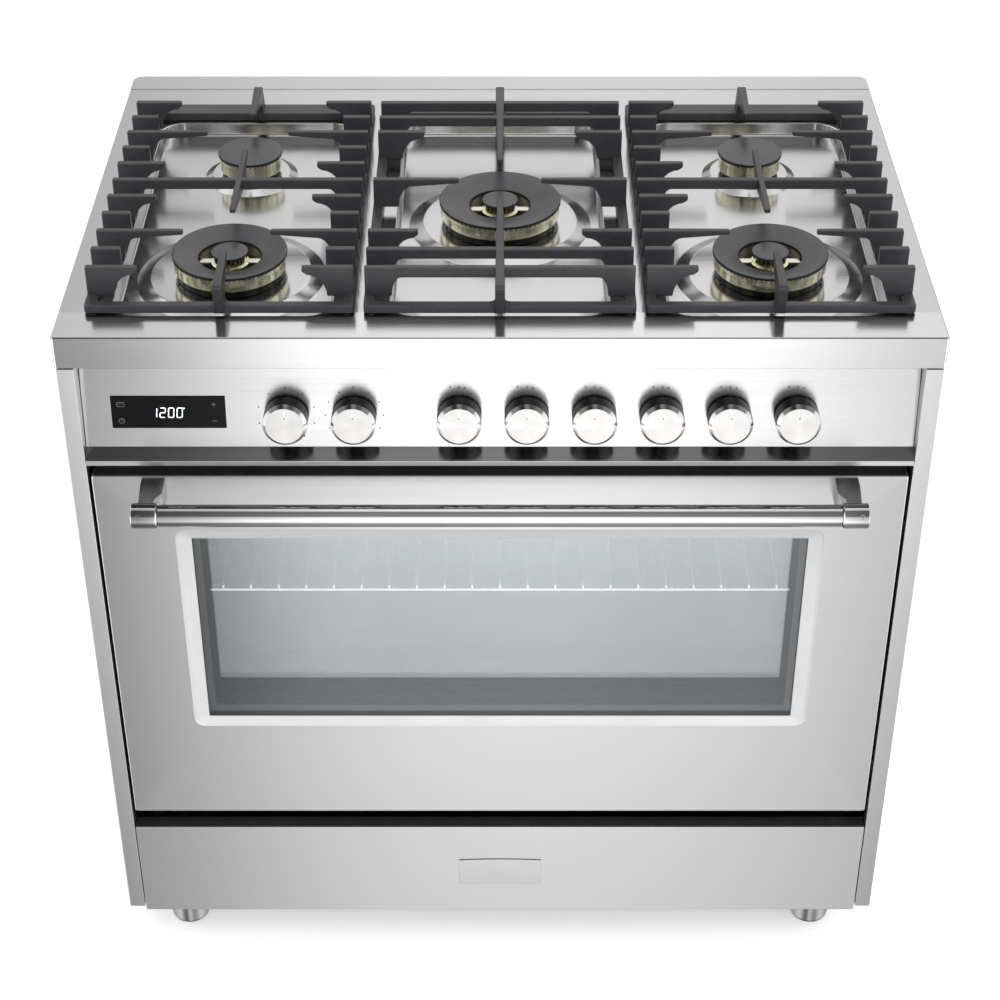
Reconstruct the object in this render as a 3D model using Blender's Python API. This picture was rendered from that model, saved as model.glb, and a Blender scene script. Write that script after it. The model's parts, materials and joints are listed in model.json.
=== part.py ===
"""Freestanding gas range with five burners, one oven and a storage drawer.

Units are metres, +Z is up, the front faces -Y and the floor is Z = 0.
X is symmetric about the middle of the range. Depths are measured back from
the front face of the worktop, and drops are measured down from its top.
"""

import bmesh
import bpy
from math import atan2, cos, pi, radians, sin
from mathutils import Matrix, Vector

# ---- driving dimensions -------------------------------------------------------------
WIDTH = 0.900
DEPTH = 0.620
HOB_TOP = 0.910
SHEET = 0.002
GAP = 0.0003

HANDLE_DEPTH = -0.047
HANDLE_DROP = 0.185
HANDLE_RADIUS = 0.0116
HANDLE_CAP_RADIUS = 0.0133
HANDLE_HALF = 0.3795
HANDLE_CAP_LENGTH = 0.0272

FRONT_Y = (HANDLE_CAP_RADIUS - HANDLE_DEPTH - DEPTH) / 2

APRON_DROP = 0.0367
REAR_TRIM_DEPTH = 0.582
WELL_HALF = (0.112, 0.222)
WELL_DEPTH = 0.015
WELL_TAPER = 0.004
WELL_CORNER = 0.026
BOSS_RISE = 0.005
LARGE_BOSS = (0.1000, 0.084)
SMALL_BOSS = (0.053, 0.043)
THROAT_RADIUS = 0.0135

STILE_WIDTH = 0.018
STILE_DEPTH = 0.020
STILE_TOP_DROP = 0.039
CABINET_BOTTOM_DROP = 0.807
FACE_DEPTH = 0.003
SIDE_OUTER = 0.449
STILE_INNER = SIDE_OUTER - STILE_WIDTH
BACK_DEPTH = 0.598
VENT_X = (-0.2, 0.0, 0.2)
VENT_DROPS = (0.075, 0.090, 0.105)
VENT_SIZE = (0.060, 0.006)
BASE_LIP = 0.025
DRAWER_RAIL_X = 0.300
DRAWER_RAIL_HALF = 0.010

PANEL_TOP = (0.0261, 0.0385)
PANEL_BOTTOM = (0.0142, 0.1405)
LEDGE_FRONT_DEPTH = 0.001
LEDGE_DROP = 0.150
LEDGE_BOTTOM_DROP = 0.156
PANEL_SHEET = 0.0015
PANEL_TILT = atan2(PANEL_TOP[0] - PANEL_BOTTOM[0], PANEL_BOTTOM[1] - PANEL_TOP[1])

KNOB_DROP = 0.104
KNOB_RADIUS = 0.023
KNOB_LENGTH = 0.0224
KNOB_CHAMFER = 0.0036
KNOB_STANDOFF = 0.0036
SPINDLE_RADIUS = 0.0035
SPINDLE_HOLE = 0.0055
SPINDLE_REACH = 0.034
SPINDLE_TIP = 0.0147
KNOB_BORE = 0.015
OVEN_SHAFT = 0.030
OVEN_KNOBS = {"oven_function_knob": -0.2205, "oven_temperature_knob": -0.1505}
GAS_KNOB_FIRST = -0.042
GAS_KNOB_PITCH = 0.0696
GAS_KNOB_COUNT = 6
MANIFOLD_REACH = 0.042
MANIFOLD_RADIUS = 0.010
TAP_HALF = 0.012
TAP_BEHIND = (0.012, 0.055)
TAP_BORE = 0.036
UNION_LENGTH = 0.030
UNION_BEYOND_BACK = 0.018
INLET_X = 0.390
INLET_RADIUS = 0.0105

DISPLAY_X = (-0.401, -0.2835)
DISPLAY_DROP = (0.0825, 0.1185)
DISPLAY_BEHIND = 0.012

DOOR_HALF = 0.428
DOOR_DROP = (0.170, 0.650)
DOOR_WALL_DEPTH = 0.038
DOOR_BACK_DEPTH = 0.040
WINDOW_HALF = 0.329
WINDOW_DROP = (0.2530, 0.5030)
BEZEL_HALF = 0.3445
BEZEL_DROP = (0.2410, 0.5150)
BEZEL_DEPTH = 0.0055
GLASS = 0.004
HINGE_X = 0.400
HINGE_DEPTH = 0.032
HINGE_DROP = 0.644
HINGE_PIN_RADIUS = 0.003

CAVITY_HALF = 0.360
CAVITY_DROP = (0.235, 0.575)
CAVITY_DEPTH = (0.045, 0.470)
FLANGE_DROP = (0.158, 0.672)
RACK_DROP = 0.364
RACK_BACK = 0.425
RACK_WIRE = 0.0025
RACK_WIRES = 20
LEDGE_SPACING = 0.050
LEDGE_LEVELS = (-1, 0, 1, 2, 3)
FAN_DROP = 0.405
FAN_COVER_HALF = (0.160, 0.115)
FAN_COVER_DEPTH = 0.438
FAN_COVER_SHEET = 0.0015
FAN_RADIUS = 0.070
FAN_BLADE_DEPTH = (0.448, 0.459)
FAN_BLADES = 8
GASKET_MARGIN = 0.015
GASKET_WIDTH = 0.008

DRAWER_HALF = 0.430
DRAWER_DROP = (0.675, 0.813)
DRAWER_FRONT_BACK = 0.021
DRAWER_BOX_HALF = 0.415
DRAWER_BOX_DROP = (0.690, 0.795)
DRAWER_BOX_BACK = 0.520
BADGE_HALF = 0.049
BADGE_DROP = (0.7285, 0.768)

FOOT_X = 0.394
FOOT_DEPTHS = {"front": 0.097, "rear": 0.530}
FOOT_RADIUS = 0.0235
SPIGOT_RADIUS = 0.010
SPIGOT_LENGTH = 0.060

# ---- burners and pan supports -------------------------------------------------------
CENTRE_DEPTH = 0.266
SIDE_BURNER_X = 0.284
SIDE_BURNER_OFFSET = 0.116
SMALL_CAP = 0.0362
MEDIUM_CAP = 0.0605
LARGE_CAP = 0.0663
CAP_TOP = 0.016
CAP_THICKNESS = 0.003
RING_HOLE = 0.0328
RING_DISH = 0.0062
INNER_BURNER = 0.0180
INNER_CAP = 0.0199
INNER_CAP_THICKNESS = 0.0025
GRATE_TOP = 0.041
RAIL_TOP = 0.011
RAIL_WIDTH = 0.0105
GRATE_FOOT = 0.0025
ROW_PITCH = 0.0387
BAR_WIDTH = 0.008
SPINE_WIDTH = 0.0095
FRONT_RAIL = (0.2112, 0.2216)
REAR_RAIL = (0.2250, 0.2510)
FRONT_REACH = 0.2340
REAR_REACH = 0.2365
SIDE_GRATE = (0.1485, 0.4220)
CENTRE_GRATE = (-0.1385, 0.1385)
FINGER_SHORT = 0.031
FINGER_MIDDLE = 0.053
FINGER_LONG = 0.091
FINGER_ROOT = 0.028
EASE = 0.0006
ARM_DEPTH = 0.0085
TIP_DEPTH = 0.0050
BAR_DEPTH = 0.0110
BURNER_CLEAR = 0.045

FINISHES = {
    "steel": ((0.74, 0.74, 0.75), 0.28, 1.0),
    "polished": ((0.86, 0.86, 0.87), 0.08, 1.0),
    "zinc": ((0.58, 0.59, 0.60), 0.45, 1.0),
    "enamel": ((0.025, 0.025, 0.028), 0.25, 0.0),
    "cast_iron": ((0.045, 0.047, 0.050), 0.55, 0.0),
    "brass": ((0.82, 0.70, 0.42), 0.25, 1.0),
    "glass": ((0.10, 0.11, 0.12), 0.05, 0.0),
    "rubber": ((0.020, 0.020, 0.020), 0.80, 0.0),
}


def place(depth, drop):
    """World Y and Z of a point at this depth and this drop."""
    return FRONT_Y + depth, HOB_TOP - drop


# ---- mesh helpers -------------------------------------------------------------------
def clear_scene():
    for item in list(bpy.data.objects):
        bpy.data.objects.remove(item)


def finish_material(name, finish):
    colour, roughness, metallic = FINISHES[finish]
    material = bpy.data.materials.new(name + "_finish")
    material.use_nodes = True
    shader = material.node_tree.nodes["Principled BSDF"]
    shader.inputs["Base Color"].default_value = (*colour, 1.0)
    shader.inputs["Roughness"].default_value = roughness
    shader.inputs["Metallic"].default_value = metallic
    return material


def solid_from(bm, name):
    """An object made from a bmesh, with its faces pointing out."""
    bmesh.ops.recalc_face_normals(bm, faces=bm.faces)
    mesh = bpy.data.meshes.new(name)
    bm.to_mesh(mesh)
    bm.free()
    item = bpy.data.objects.new(name, mesh)
    bpy.context.scene.collection.objects.link(item)
    return item


def box(name, x, depth, drop):
    """A block between two X values, two depths and two drops."""
    bm = bmesh.new()
    bmesh.ops.create_cube(bm, size=1.0)
    low_y, high_z = place(depth[0], drop[0])
    high_y, low_z = place(depth[1], drop[1])
    size = Vector((x[1] - x[0], high_y - low_y, high_z - low_z))
    middle = Vector(((x[0] + x[1]) / 2, (low_y + high_y) / 2, (low_z + high_z) / 2))
    bmesh.ops.scale(bm, vec=size, verts=bm.verts)
    bmesh.ops.translate(bm, vec=middle, verts=bm.verts)
    return solid_from(bm, name)


def prism(name, outline, start, travel):
    """Push a flat outline of world points along a straight travel."""
    bm = bmesh.new()
    corners = [bm.verts.new(Vector(start) + Vector(point)) for point in outline]
    face = bm.faces.new(corners)
    pushed = bmesh.ops.extrude_face_region(bm, geom=[face])
    moved = [part for part in pushed["geom"] if isinstance(part, bmesh.types.BMVert)]
    bmesh.ops.translate(bm, vec=Vector(travel), verts=moved)
    return solid_from(bm, name)


def side_prism(name, outline, x):
    """Push an outline of (depth, drop) points from one X to another."""
    points = [(0.0, *place(depth, drop)) for depth, drop in outline]
    return prism(name, points, (x[0], 0.0, 0.0), (x[1] - x[0], 0.0, 0.0))


def front_prism(name, outline, depth):
    """Push an outline of (x, drop) points from one depth to another."""
    points = [(x, 0.0, HOB_TOP - drop) for x, drop in outline]
    return prism(name, points, (0.0, FRONT_Y + depth[0], 0.0), (0.0, depth[1] - depth[0], 0.0))


def turned(name, profile, segments, hollow=False):
    """Turn (radius, height) points about Z. A hollow profile closes on itself."""
    bm = bmesh.new()
    rings = []
    for radius, height in profile:
        count = segments if radius > 0.0 else 1
        angles = [2 * pi * step / segments for step in range(count)]
        rings.append([bm.verts.new((radius * cos(a), radius * sin(a), height)) for a in angles])
    pairs = list(zip(rings, rings[1:]))
    if hollow:
        pairs.append((rings[-1], rings[0]))
    for lower, upper in pairs:
        for step in range(segments):
            after = (step + 1) % segments
            corners = [lower[step % len(lower)], lower[after % len(lower)]]
            corners += [upper[after % len(upper)], upper[step % len(upper)]]
            bm.faces.new(list(dict.fromkeys(corners)))
    return solid_from(bm, name)


def rod(name, radius, start, end, segments=12):
    """A round bar between two world points."""
    start = Vector(start)
    run = Vector(end) - start
    item = turned(name, [(0.0, 0.0), (radius, 0.0), (radius, run.length), (0.0, run.length)], segments)
    turn = run.to_track_quat("Z", "Y").to_matrix().to_4x4()
    item.data.transform(Matrix.Translation(start) @ turn)
    return item


def combine(item, tools, operation):
    """Join or cut an object with others, which are used up."""
    for tool in tools:
        change = item.modifiers.new(tool.name, "BOOLEAN")
        change.operation = operation
        change.object = tool
        graph = bpy.context.evaluated_depsgraph_get()
        shaped = bpy.data.meshes.new_from_object(item.evaluated_get(graph))
        item.modifiers.remove(change)
        item.data = shaped
        bpy.data.objects.remove(tool)
    return item


def join(item, *tools):
    return combine(item, tools, "UNION")


def cut(item, *tools):
    return combine(item, tools, "DIFFERENCE")


def dress(item, finish, round_piece=False):
    """Give an object its own material, and smooth shading where it is round."""
    item.data.materials.clear()
    item.data.materials.append(finish_material(item.name, finish))
    if round_piece:
        item.data.shade_smooth()
        item.data.set_sharp_from_angle(angle=radians(40))
    return item


def hang(pivot_name, location, items):
    """Parent objects to an empty that marks the joint they move on."""
    pivot = bpy.data.objects.new(pivot_name, None)
    pivot.location = location
    bpy.context.scene.collection.objects.link(pivot)
    for item in items:
        item.data.transform(Matrix.Translation(-Vector(location)))
        item.parent = pivot
    return pivot


def rounded_rectangle(half_x, half_y, radius, steps=4):
    """Corner points of a rectangle with round corners, centred on zero."""
    points = []
    for quarter, (sign_x, sign_y) in enumerate(((1, 1), (-1, 1), (-1, -1), (1, -1))):
        centre = (sign_x * (half_x - radius), sign_y * (half_y - radius))
        for step in range(steps + 1):
            angle = (quarter + step / steps) * pi / 2
            points.append((centre[0] + radius * cos(angle), centre[1] + radius * sin(angle)))
    return points


def sheet_outline(path, thickness):
    """A folded sheet's section: the path and its mitred offset to the left."""
    offset = []
    for index, point in enumerate(path):
        here = Vector(point)
        normals = []
        for start, end in ((index - 1, index), (index, index + 1)):
            if start >= 0 and end < len(path):
                run = Vector(path[end]) - Vector(path[start])
                normals.append(Vector((-run.y, run.x)).normalized())
        bisector = sum(normals, Vector((0.0, 0.0))).normalized()
        offset.append(tuple(here + bisector * thickness / bisector.dot(normals[0])))
    return list(path) + offset[::-1]


# ---- worktop ------------------------------------------------------------------------
def burners():
    """Name, X, depth and cap radius of each burner."""
    front = CENTRE_DEPTH - SIDE_BURNER_OFFSET
    rear = CENTRE_DEPTH + SIDE_BURNER_OFFSET
    return [
        ("front_left", -SIDE_BURNER_X, front, MEDIUM_CAP),
        ("rear_left", -SIDE_BURNER_X, rear, SMALL_CAP),
        ("centre", 0.0, CENTRE_DEPTH, LARGE_CAP),
        ("front_right", SIDE_BURNER_X, front, MEDIUM_CAP),
        ("rear_right", SIDE_BURNER_X, rear, SMALL_CAP),
    ]


def well_shape(name, centre_x, grow, low, high):
    """A tray-shaped block for one spill well, wider at the top than at the floor."""
    bm = bmesh.new()
    middle_y, top_z = place(CENTRE_DEPTH, 0.0)
    loops = []
    for height, taper in ((low, WELL_TAPER), (high, 0.0)):
        half_x = WELL_HALF[0] - taper + grow
        half_y = WELL_HALF[1] - taper + grow
        points = rounded_rectangle(half_x, half_y, WELL_CORNER - taper + grow)
        loops.append([bm.verts.new((centre_x + x, middle_y + y, top_z + height)) for x, y in points])
    bm.faces.new(loops[0])
    bm.faces.new(loops[1])
    count = len(loops[0])
    for index in range(count):
        after = (index + 1) % count
        bm.faces.new((loops[0][index], loops[0][after], loops[1][after], loops[1][index]))
    return solid_from(bm, name)


def burner_boss(name, x, depth, cap_radius):
    """The raised round seat pressed into a well round one burner's throat."""
    outer, inner = SMALL_BOSS if cap_radius == SMALL_CAP else LARGE_BOSS
    low = -WELL_DEPTH - SHEET / 2
    profile = [(THROAT_RADIUS + 0.003, low), (outer, low), (outer, -WELL_DEPTH)]
    profile += [(inner, BOSS_RISE - WELL_DEPTH), (THROAT_RADIUS + 0.003, BOSS_RISE - WELL_DEPTH)]
    seat = turned(name, profile, 32, hollow=True)
    y, z = place(depth, 0.0)
    seat.data.transform(Matrix.Translation((x, y, z)))
    return seat


def make_worktop():
    half = WIDTH / 2
    top = box("worktop", (-half, half), (0.0, REAR_TRIM_DEPTH), (0.0, APRON_DROP))
    inside_x = (SHEET - half, half - SHEET)
    cut(top, box("under", inside_x, (SHEET, REAR_TRIM_DEPTH - SHEET), (SHEET, 2 * APRON_DROP)))
    for centre_x in (-SIDE_BURNER_X, 0.0, SIDE_BURNER_X):
        join(top, well_shape("well_wall", centre_x, SHEET, -WELL_DEPTH - SHEET, -SHEET / 2))
        cut(top, well_shape("well", centre_x, 0.0, -WELL_DEPTH, SHEET))
    for name, x, depth, cap_radius in burners():
        y, z = place(depth, 0.0)
        cut(top, rod("throat", THROAT_RADIUS, (x, y, z - APRON_DROP), (x, y, z), 16))
        join(top, burner_boss("boss", x, depth, cap_radius))
    return dress(top, "steel")


def make_rear_trim():
    half = WIDTH / 2
    corner = 0.012
    arc = [i * pi / 8 for i in range(5)]
    right = [(half - corner + corner * cos(a), DEPTH - corner + corner * sin(a)) for a in arc]
    left = [(-x, depth) for x, depth in reversed(right)]
    start = REAR_TRIM_DEPTH + GAP
    outline = [(half, start)] + right + left + [(-half, start)]
    low = HOB_TOP - APRON_DROP
    points = [(x, FRONT_Y + depth, low) for x, depth in outline]
    trim = prism("rear_trim", points, (0.0, 0.0, 0.0), (0.0, 0.0, APRON_DROP))
    hollow_x = (SHEET - half, half - SHEET)
    under = box("under", hollow_x, (start + SHEET, DEPTH - corner), (SHEET, 2 * APRON_DROP))
    return dress(cut(trim, under), "steel")


# ---- cabinet ------------------------------------------------------------------------
def make_side_panel(name, side):
    back = BACK_DEPTH - SHEET - GAP
    fold = FACE_DEPTH + STILE_DEPTH
    outline = [(STILE_INNER, FACE_DEPTH), (SIDE_OUTER, FACE_DEPTH), (SIDE_OUTER, back)]
    outline += [(SIDE_OUTER - SHEET, back), (SIDE_OUTER - SHEET, fold), (STILE_INNER, fold)]
    points = [(side * x, FRONT_Y + depth, HOB_TOP - CABINET_BOTTOM_DROP) for x, depth in outline]
    height = CABINET_BOTTOM_DROP - STILE_TOP_DROP
    return dress(prism(name, points, (0.0, 0.0, 0.0), (0.0, 0.0, height)), "steel")


def make_back_panel():
    depth = (BACK_DEPTH - SHEET, BACK_DEPTH)
    drop = (APRON_DROP + GAP, CABINET_BOTTOM_DROP)
    panel = box("back_panel", (-SIDE_OUTER, SIDE_OUTER), depth, drop)
    inlet_y = place(BACK_DEPTH, 0.0)[0]
    inlet_z = on_panel(0.0, KNOB_DROP, -MANIFOLD_REACH).z
    ends = [(INLET_X, inlet_y + reach, inlet_z) for reach in (-0.01, 0.01)]
    hole = rod("inlet_hole", INLET_RADIUS + 0.002, *ends, 16)
    through = (BACK_DEPTH - 0.01, BACK_DEPTH + 0.01)
    width, height = VENT_SIZE
    vents = [
        box("vent", (x - width / 2, x + width / 2), through, (vent_drop, vent_drop + height))
        for x in VENT_X
        for vent_drop in VENT_DROPS
    ]
    return dress(cut(panel, hole, *vents), "zinc")


def make_base_pan():
    """Floor of the cabinet, with drawer rails above and a spigot for each foot below."""
    half = SIDE_OUTER - SHEET - GAP
    front = FACE_DEPTH + STILE_DEPTH + GAP
    back = BACK_DEPTH - SHEET - GAP
    bottom = CABINET_BOTTOM_DROP
    pan = box("base_pan", (-half, half), (front, back), (bottom - SHEET, bottom))
    lip = (bottom - BASE_LIP, bottom - SHEET / 2)
    join(pan, box("lip", (-half, SHEET - half), (front, back), lip))
    join(pan, box("lip", (half - SHEET, half), (front, back), lip))
    rail_drop = (DRAWER_BOX_DROP[1] + GAP, bottom - SHEET / 2)
    for x in (-DRAWER_RAIL_X, DRAWER_RAIL_X):
        rail_x = (x - DRAWER_RAIL_HALF, x + DRAWER_RAIL_HALF)
        join(pan, box("rail", rail_x, (front + 0.02, DRAWER_BOX_BACK), rail_drop))
    for depth in FOOT_DEPTHS.values():
        for x in (-FOOT_X, FOOT_X):
            y, z = place(depth, bottom)
            join(pan, rod("spigot", SPIGOT_RADIUS, (x, y, z - SPIGOT_LENGTH), (x, y, z + SHEET / 2)))
    return dress(pan, "zinc")


def make_foot(name, x, depth):
    """A levelling foot: a sleeve that screws up and down on the base pan's spigot."""
    height = HOB_TOP - CABINET_BOTTOM_DROP - GAP
    sleeve = FOOT_RADIUS - 0.001
    bore = SPIGOT_RADIUS + GAP
    bore_floor = height - SPIGOT_LENGTH - 0.012
    profile = [(0.0, 0.0), (FOOT_RADIUS - 0.0015, 0.0), (FOOT_RADIUS, 0.0015), (FOOT_RADIUS, 0.012)]
    profile += [(sleeve, 0.013), (sleeve, height), (bore, height), (bore, bore_floor), (0.0, bore_floor)]
    foot = turned(name, profile, 24)
    foot.location = (x, FRONT_Y + depth, 0.0)
    return dress(foot, "steel", True)


# ---- control panel ------------------------------------------------------------------
def on_panel(x, drop, out=0.0):
    """World point on the control panel's face, or this far out from it."""
    along = (drop - PANEL_TOP[1]) / (PANEL_BOTTOM[1] - PANEL_TOP[1])
    depth = PANEL_TOP[0] + along * (PANEL_BOTTOM[0] - PANEL_TOP[0])
    y, z = place(depth, drop)
    return Vector((x, y - out * cos(PANEL_TILT), z + out * sin(PANEL_TILT)))


def gas_knob_positions():
    return [GAS_KNOB_FIRST + GAS_KNOB_PITCH * index for index in range(GAS_KNOB_COUNT)]


def panel_plate(name, grow, outward):
    """A block on the panel's plane that covers the display window."""
    x = (DISPLAY_X[0] - grow, DISPLAY_X[1] + grow)
    top = on_panel(0.0, DISPLAY_DROP[0] - grow)
    bottom = on_panel(0.0, DISPLAY_DROP[1] + grow)
    out = Vector((0.0, -cos(PANEL_TILT), sin(PANEL_TILT)))
    near, far = (out * reach for reach in outward)
    points = [top + near, bottom + near, bottom + far, top + far]
    return prism(name, points, (x[0], 0.0, 0.0), (x[1] - x[0], 0.0, 0.0))


def make_control_fascia():
    """One folded sheet: tilted panel, polished ledge, front lip and lower return."""
    path = [(0.060, PANEL_TOP[1]), PANEL_TOP, PANEL_BOTTOM, (LEDGE_FRONT_DEPTH, LEDGE_DROP)]
    path += [(LEDGE_FRONT_DEPTH, LEDGE_BOTTOM_DROP), (0.0445, LEDGE_BOTTOM_DROP)]
    half = STILE_INNER - 0.0005
    fascia = side_prism("control_fascia", sheet_outline(path, -PANEL_SHEET), (-half, half))
    holes = [
        rod("spindle_hole", SPINDLE_HOLE, on_panel(x, KNOB_DROP, -0.01), on_panel(x, KNOB_DROP, 0.005))
        for x in gas_knob_positions() + list(OVEN_KNOBS.values())
    ]
    return dress(cut(fascia, panel_plate("display_hole", GAP, (-0.01, 0.005)), *holes), "steel")


def make_display():
    return dress(panel_plate("display", 0.0, (-DISPLAY_BEHIND, 0.0004)), "glass")


def make_knob(name, x, shaft_length):
    """A round knob. One that has a long shaft reaches its own switch behind the panel."""
    rim = KNOB_RADIUS - KNOB_CHAMFER
    bore = SPINDLE_RADIUS + GAP / 2
    profile = [(0.0, -shaft_length), (SPINDLE_RADIUS, -shaft_length), (SPINDLE_RADIUS, 0.0)]
    if not shaft_length:
        profile = [(0.0, KNOB_BORE), (bore, KNOB_BORE), (bore, 0.0)]
    profile += [(KNOB_RADIUS, 0.0), (KNOB_RADIUS, KNOB_LENGTH - KNOB_CHAMFER), (rim, KNOB_LENGTH)]
    knob = turned(name, profile + [(0.0, KNOB_LENGTH)], 24)
    knob.location = on_panel(x, KNOB_DROP, KNOB_STANDOFF)
    knob.rotation_euler.x = pi / 2 - PANEL_TILT
    return dress(knob, "polished", True)


def make_spindle(name, x):
    """A gas valve's round spindle. It runs from inside the valve into its knob."""
    profile = [(0.0, -SPINDLE_REACH), (SPINDLE_RADIUS, -SPINDLE_REACH)]
    profile += [(SPINDLE_RADIUS, SPINDLE_TIP), (0.0, SPINDLE_TIP)]
    spindle = turned(name, profile, 12)
    spindle.location = on_panel(x, KNOB_DROP, KNOB_STANDOFF)
    spindle.rotation_euler.x = pi / 2 - PANEL_TILT
    return dress(spindle, "zinc", True)


def valve_block(x, near, far, half):
    """A square block round a knob's axis, between two distances behind the panel."""
    out = Vector((0.0, -cos(PANEL_TILT), sin(PANEL_TILT)))
    across = Vector((0.0, sin(PANEL_TILT), cos(PANEL_TILT))) * half
    axis = on_panel(0.0, KNOB_DROP)
    points = [axis - out * near + across, axis - out * near - across]
    points += [axis - out * far - across, axis - out * far + across]
    return prism("tap", points, (x - half, 0.0, 0.0), (2 * half, 0.0, 0.0))


def make_gas_manifold():
    """The gas rail with a tap for each gas knob, and the supply pipe to the rear inlet."""
    positions = gas_knob_positions()
    rail = on_panel(0.0, KNOB_DROP, -MANIFOLD_REACH)
    left = Vector((positions[0] - 0.030, rail.y, rail.z))
    right = Vector((INLET_X + 0.014, rail.y, rail.z))
    pipe = rod("gas_manifold", MANIFOLD_RADIUS, left, right)
    run = place(BACK_DEPTH + UNION_BEYOND_BACK, 0.0)[0] - rail.y
    thin = MANIFOLD_RADIUS - 0.0015
    profile = [(0.0, 0.0), (thin, 0.0), (thin, run - UNION_LENGTH)]
    profile += [(INLET_RADIUS, run - UNION_LENGTH), (INLET_RADIUS, run), (0.0, run)]
    supply = turned("supply", profile, 10)
    supply.data.transform(Matrix.Translation((INLET_X, rail.y, rail.z)) @ Matrix.Rotation(-pi / 2, 4, "X"))
    join(pipe, supply)
    for x in positions:
        join(pipe, valve_block(x, *TAP_BEHIND, TAP_HALF))
        start = on_panel(x, KNOB_DROP, -TAP_BORE)
        cut(pipe, rod("bore", SPINDLE_RADIUS + GAP, start, on_panel(x, KNOB_DROP, 0.0)))
    return dress(pipe, "zinc")


# ---- oven ---------------------------------------------------------------------------
def make_oven_cavity():
    """The enamelled liner and its front flange, open at the front, with rack ledges."""
    inner_x = (-CAVITY_HALF, CAVITY_HALF)
    outer_x = (-CAVITY_HALF - SHEET, CAVITY_HALF + SHEET)
    front, back = CAVITY_DEPTH
    outer_drop = (CAVITY_DROP[0] - SHEET, CAVITY_DROP[1] + SHEET)
    liner = box("oven_cavity", outer_x, (front + SHEET / 2, back + SHEET), outer_drop)
    flange_half = STILE_INNER - 0.0005
    join(liner, box("flange", (-flange_half, flange_half), (front, front + SHEET), FLANGE_DROP))
    cut(liner, box("inside", inner_x, (front - 0.01, back), CAVITY_DROP))
    for level in LEDGE_LEVELS:
        drop = RACK_DROP + 2 * RACK_WIRE + GAP + level * LEDGE_SPACING
        for side in (-1, 1):
            reach = sorted((side * (CAVITY_HALF - 0.006), side * (CAVITY_HALF + SHEET / 2)))
            join(liner, box("rack_ledge", reach, (front + 0.025, back - 0.045), (drop, drop + 0.005)))
    y, z = place(back, FAN_DROP)
    cut(liner, rod("shaft_hole", 0.006, (0.0, y - 0.01, z), (0.0, y + 0.01, z)))
    return dress(liner, "enamel")


def make_oven_rack():
    """A wire shelf: two side runners, cross wires at front and rear, and long wires."""
    half = CAVITY_HALF - 0.004
    front = CAVITY_DEPTH[0] + 0.015
    back = RACK_BACK
    wire = RACK_WIRE
    drop = (RACK_DROP, RACK_DROP + 2 * wire)
    rack = box("oven_rack", (-half, -half + 2 * wire), (front, back), drop)
    join(rack, box("runner", (half - 2 * wire, half), (front, back), drop))
    for depth in (front, back - 2 * wire):
        join(rack, box("cross", (-half, half), (depth, depth + 2 * wire), drop))
    high = (RACK_DROP - wire, RACK_DROP + wire)
    for index in range(RACK_WIRES):
        x = (index + 0.5) * 2 * half / RACK_WIRES - half
        join(rack, box("wire", (x - wire / 2, x + wire / 2), (front + wire, back - wire), high))
    return dress(rack, "polished")


def turn_round_fan(item, depth, angle):
    """Swing a piece about the fan's axis, which runs front to back."""
    y, z = place(depth, FAN_DROP)
    there = Matrix.Translation((0.0, y, z))
    item.data.transform(there @ Matrix.Rotation(angle, 4, "Y") @ there.inverted())
    return item


def make_fan_cover():
    """A shallow steel cover over the fan, with a ring of inlet slots and side outlets."""
    half, rise = FAN_COVER_HALF
    wall = FAN_COVER_SHEET
    front = FAN_COVER_DEPTH
    drop = (FAN_DROP - rise, FAN_DROP + rise)
    cover = box("fan_cover", (-half, half), (front, CAVITY_DEPTH[1] - GAP), drop)
    inside_drop = (drop[0] + wall, drop[1] - wall)
    cut(cover, box("inside", (wall - half, half - wall), (front + wall, CAVITY_DEPTH[1] + 0.01), inside_drop))
    slots = 12
    slot_drop = (FAN_DROP - 0.004, FAN_DROP + 0.004)
    for index in range(slots):
        slot = box("slot", (0.028, 0.062), (front - 0.01, front + 0.01), slot_drop)
        cut(cover, turn_round_fan(slot, front, 2 * pi * index / slots))
    for level in (-0.06, 0.0, 0.06):
        outlet = (FAN_DROP + level - 0.012, FAN_DROP + level + 0.012)
        cut(cover, box("outlet", (-half - 0.01, half + 0.01), (front + 0.010, front + 0.022), outlet))
    return dress(cover, "enamel")


def make_convection_fan():
    """A hub with flat blades, on a shaft that runs out through the oven's back."""
    y, z = place(CAVITY_DEPTH[1], FAN_DROP)
    fan = rod("convection_fan", 0.004, (0.0, y - 0.026, z), (0.0, y + 0.030, z), 12)
    join(fan, rod("hub", 0.014, (0.0, y - 0.024, z), (0.0, y - 0.010, z), 16))
    blade_drop = (FAN_DROP - 0.001, FAN_DROP + 0.001)
    for index in range(FAN_BLADES):
        blade = box("blade", (0.010, FAN_RADIUS), FAN_BLADE_DEPTH, blade_drop)
        join(fan, turn_round_fan(blade, CAVITY_DEPTH[1], 2 * pi * index / FAN_BLADES))
    fan.data.transform(Matrix.Translation((0.0, -y, -z)))
    fan.location = (0.0, y, z)
    return dress(fan, "steel")


def ring_outline(half_x, drop, radius):
    """Rounded rectangle as (x, drop) points between two drops."""
    middle = (drop[0] + drop[1]) / 2
    return [(x, middle + y) for x, y in rounded_rectangle(half_x, (drop[1] - drop[0]) / 2, radius)]


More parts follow.
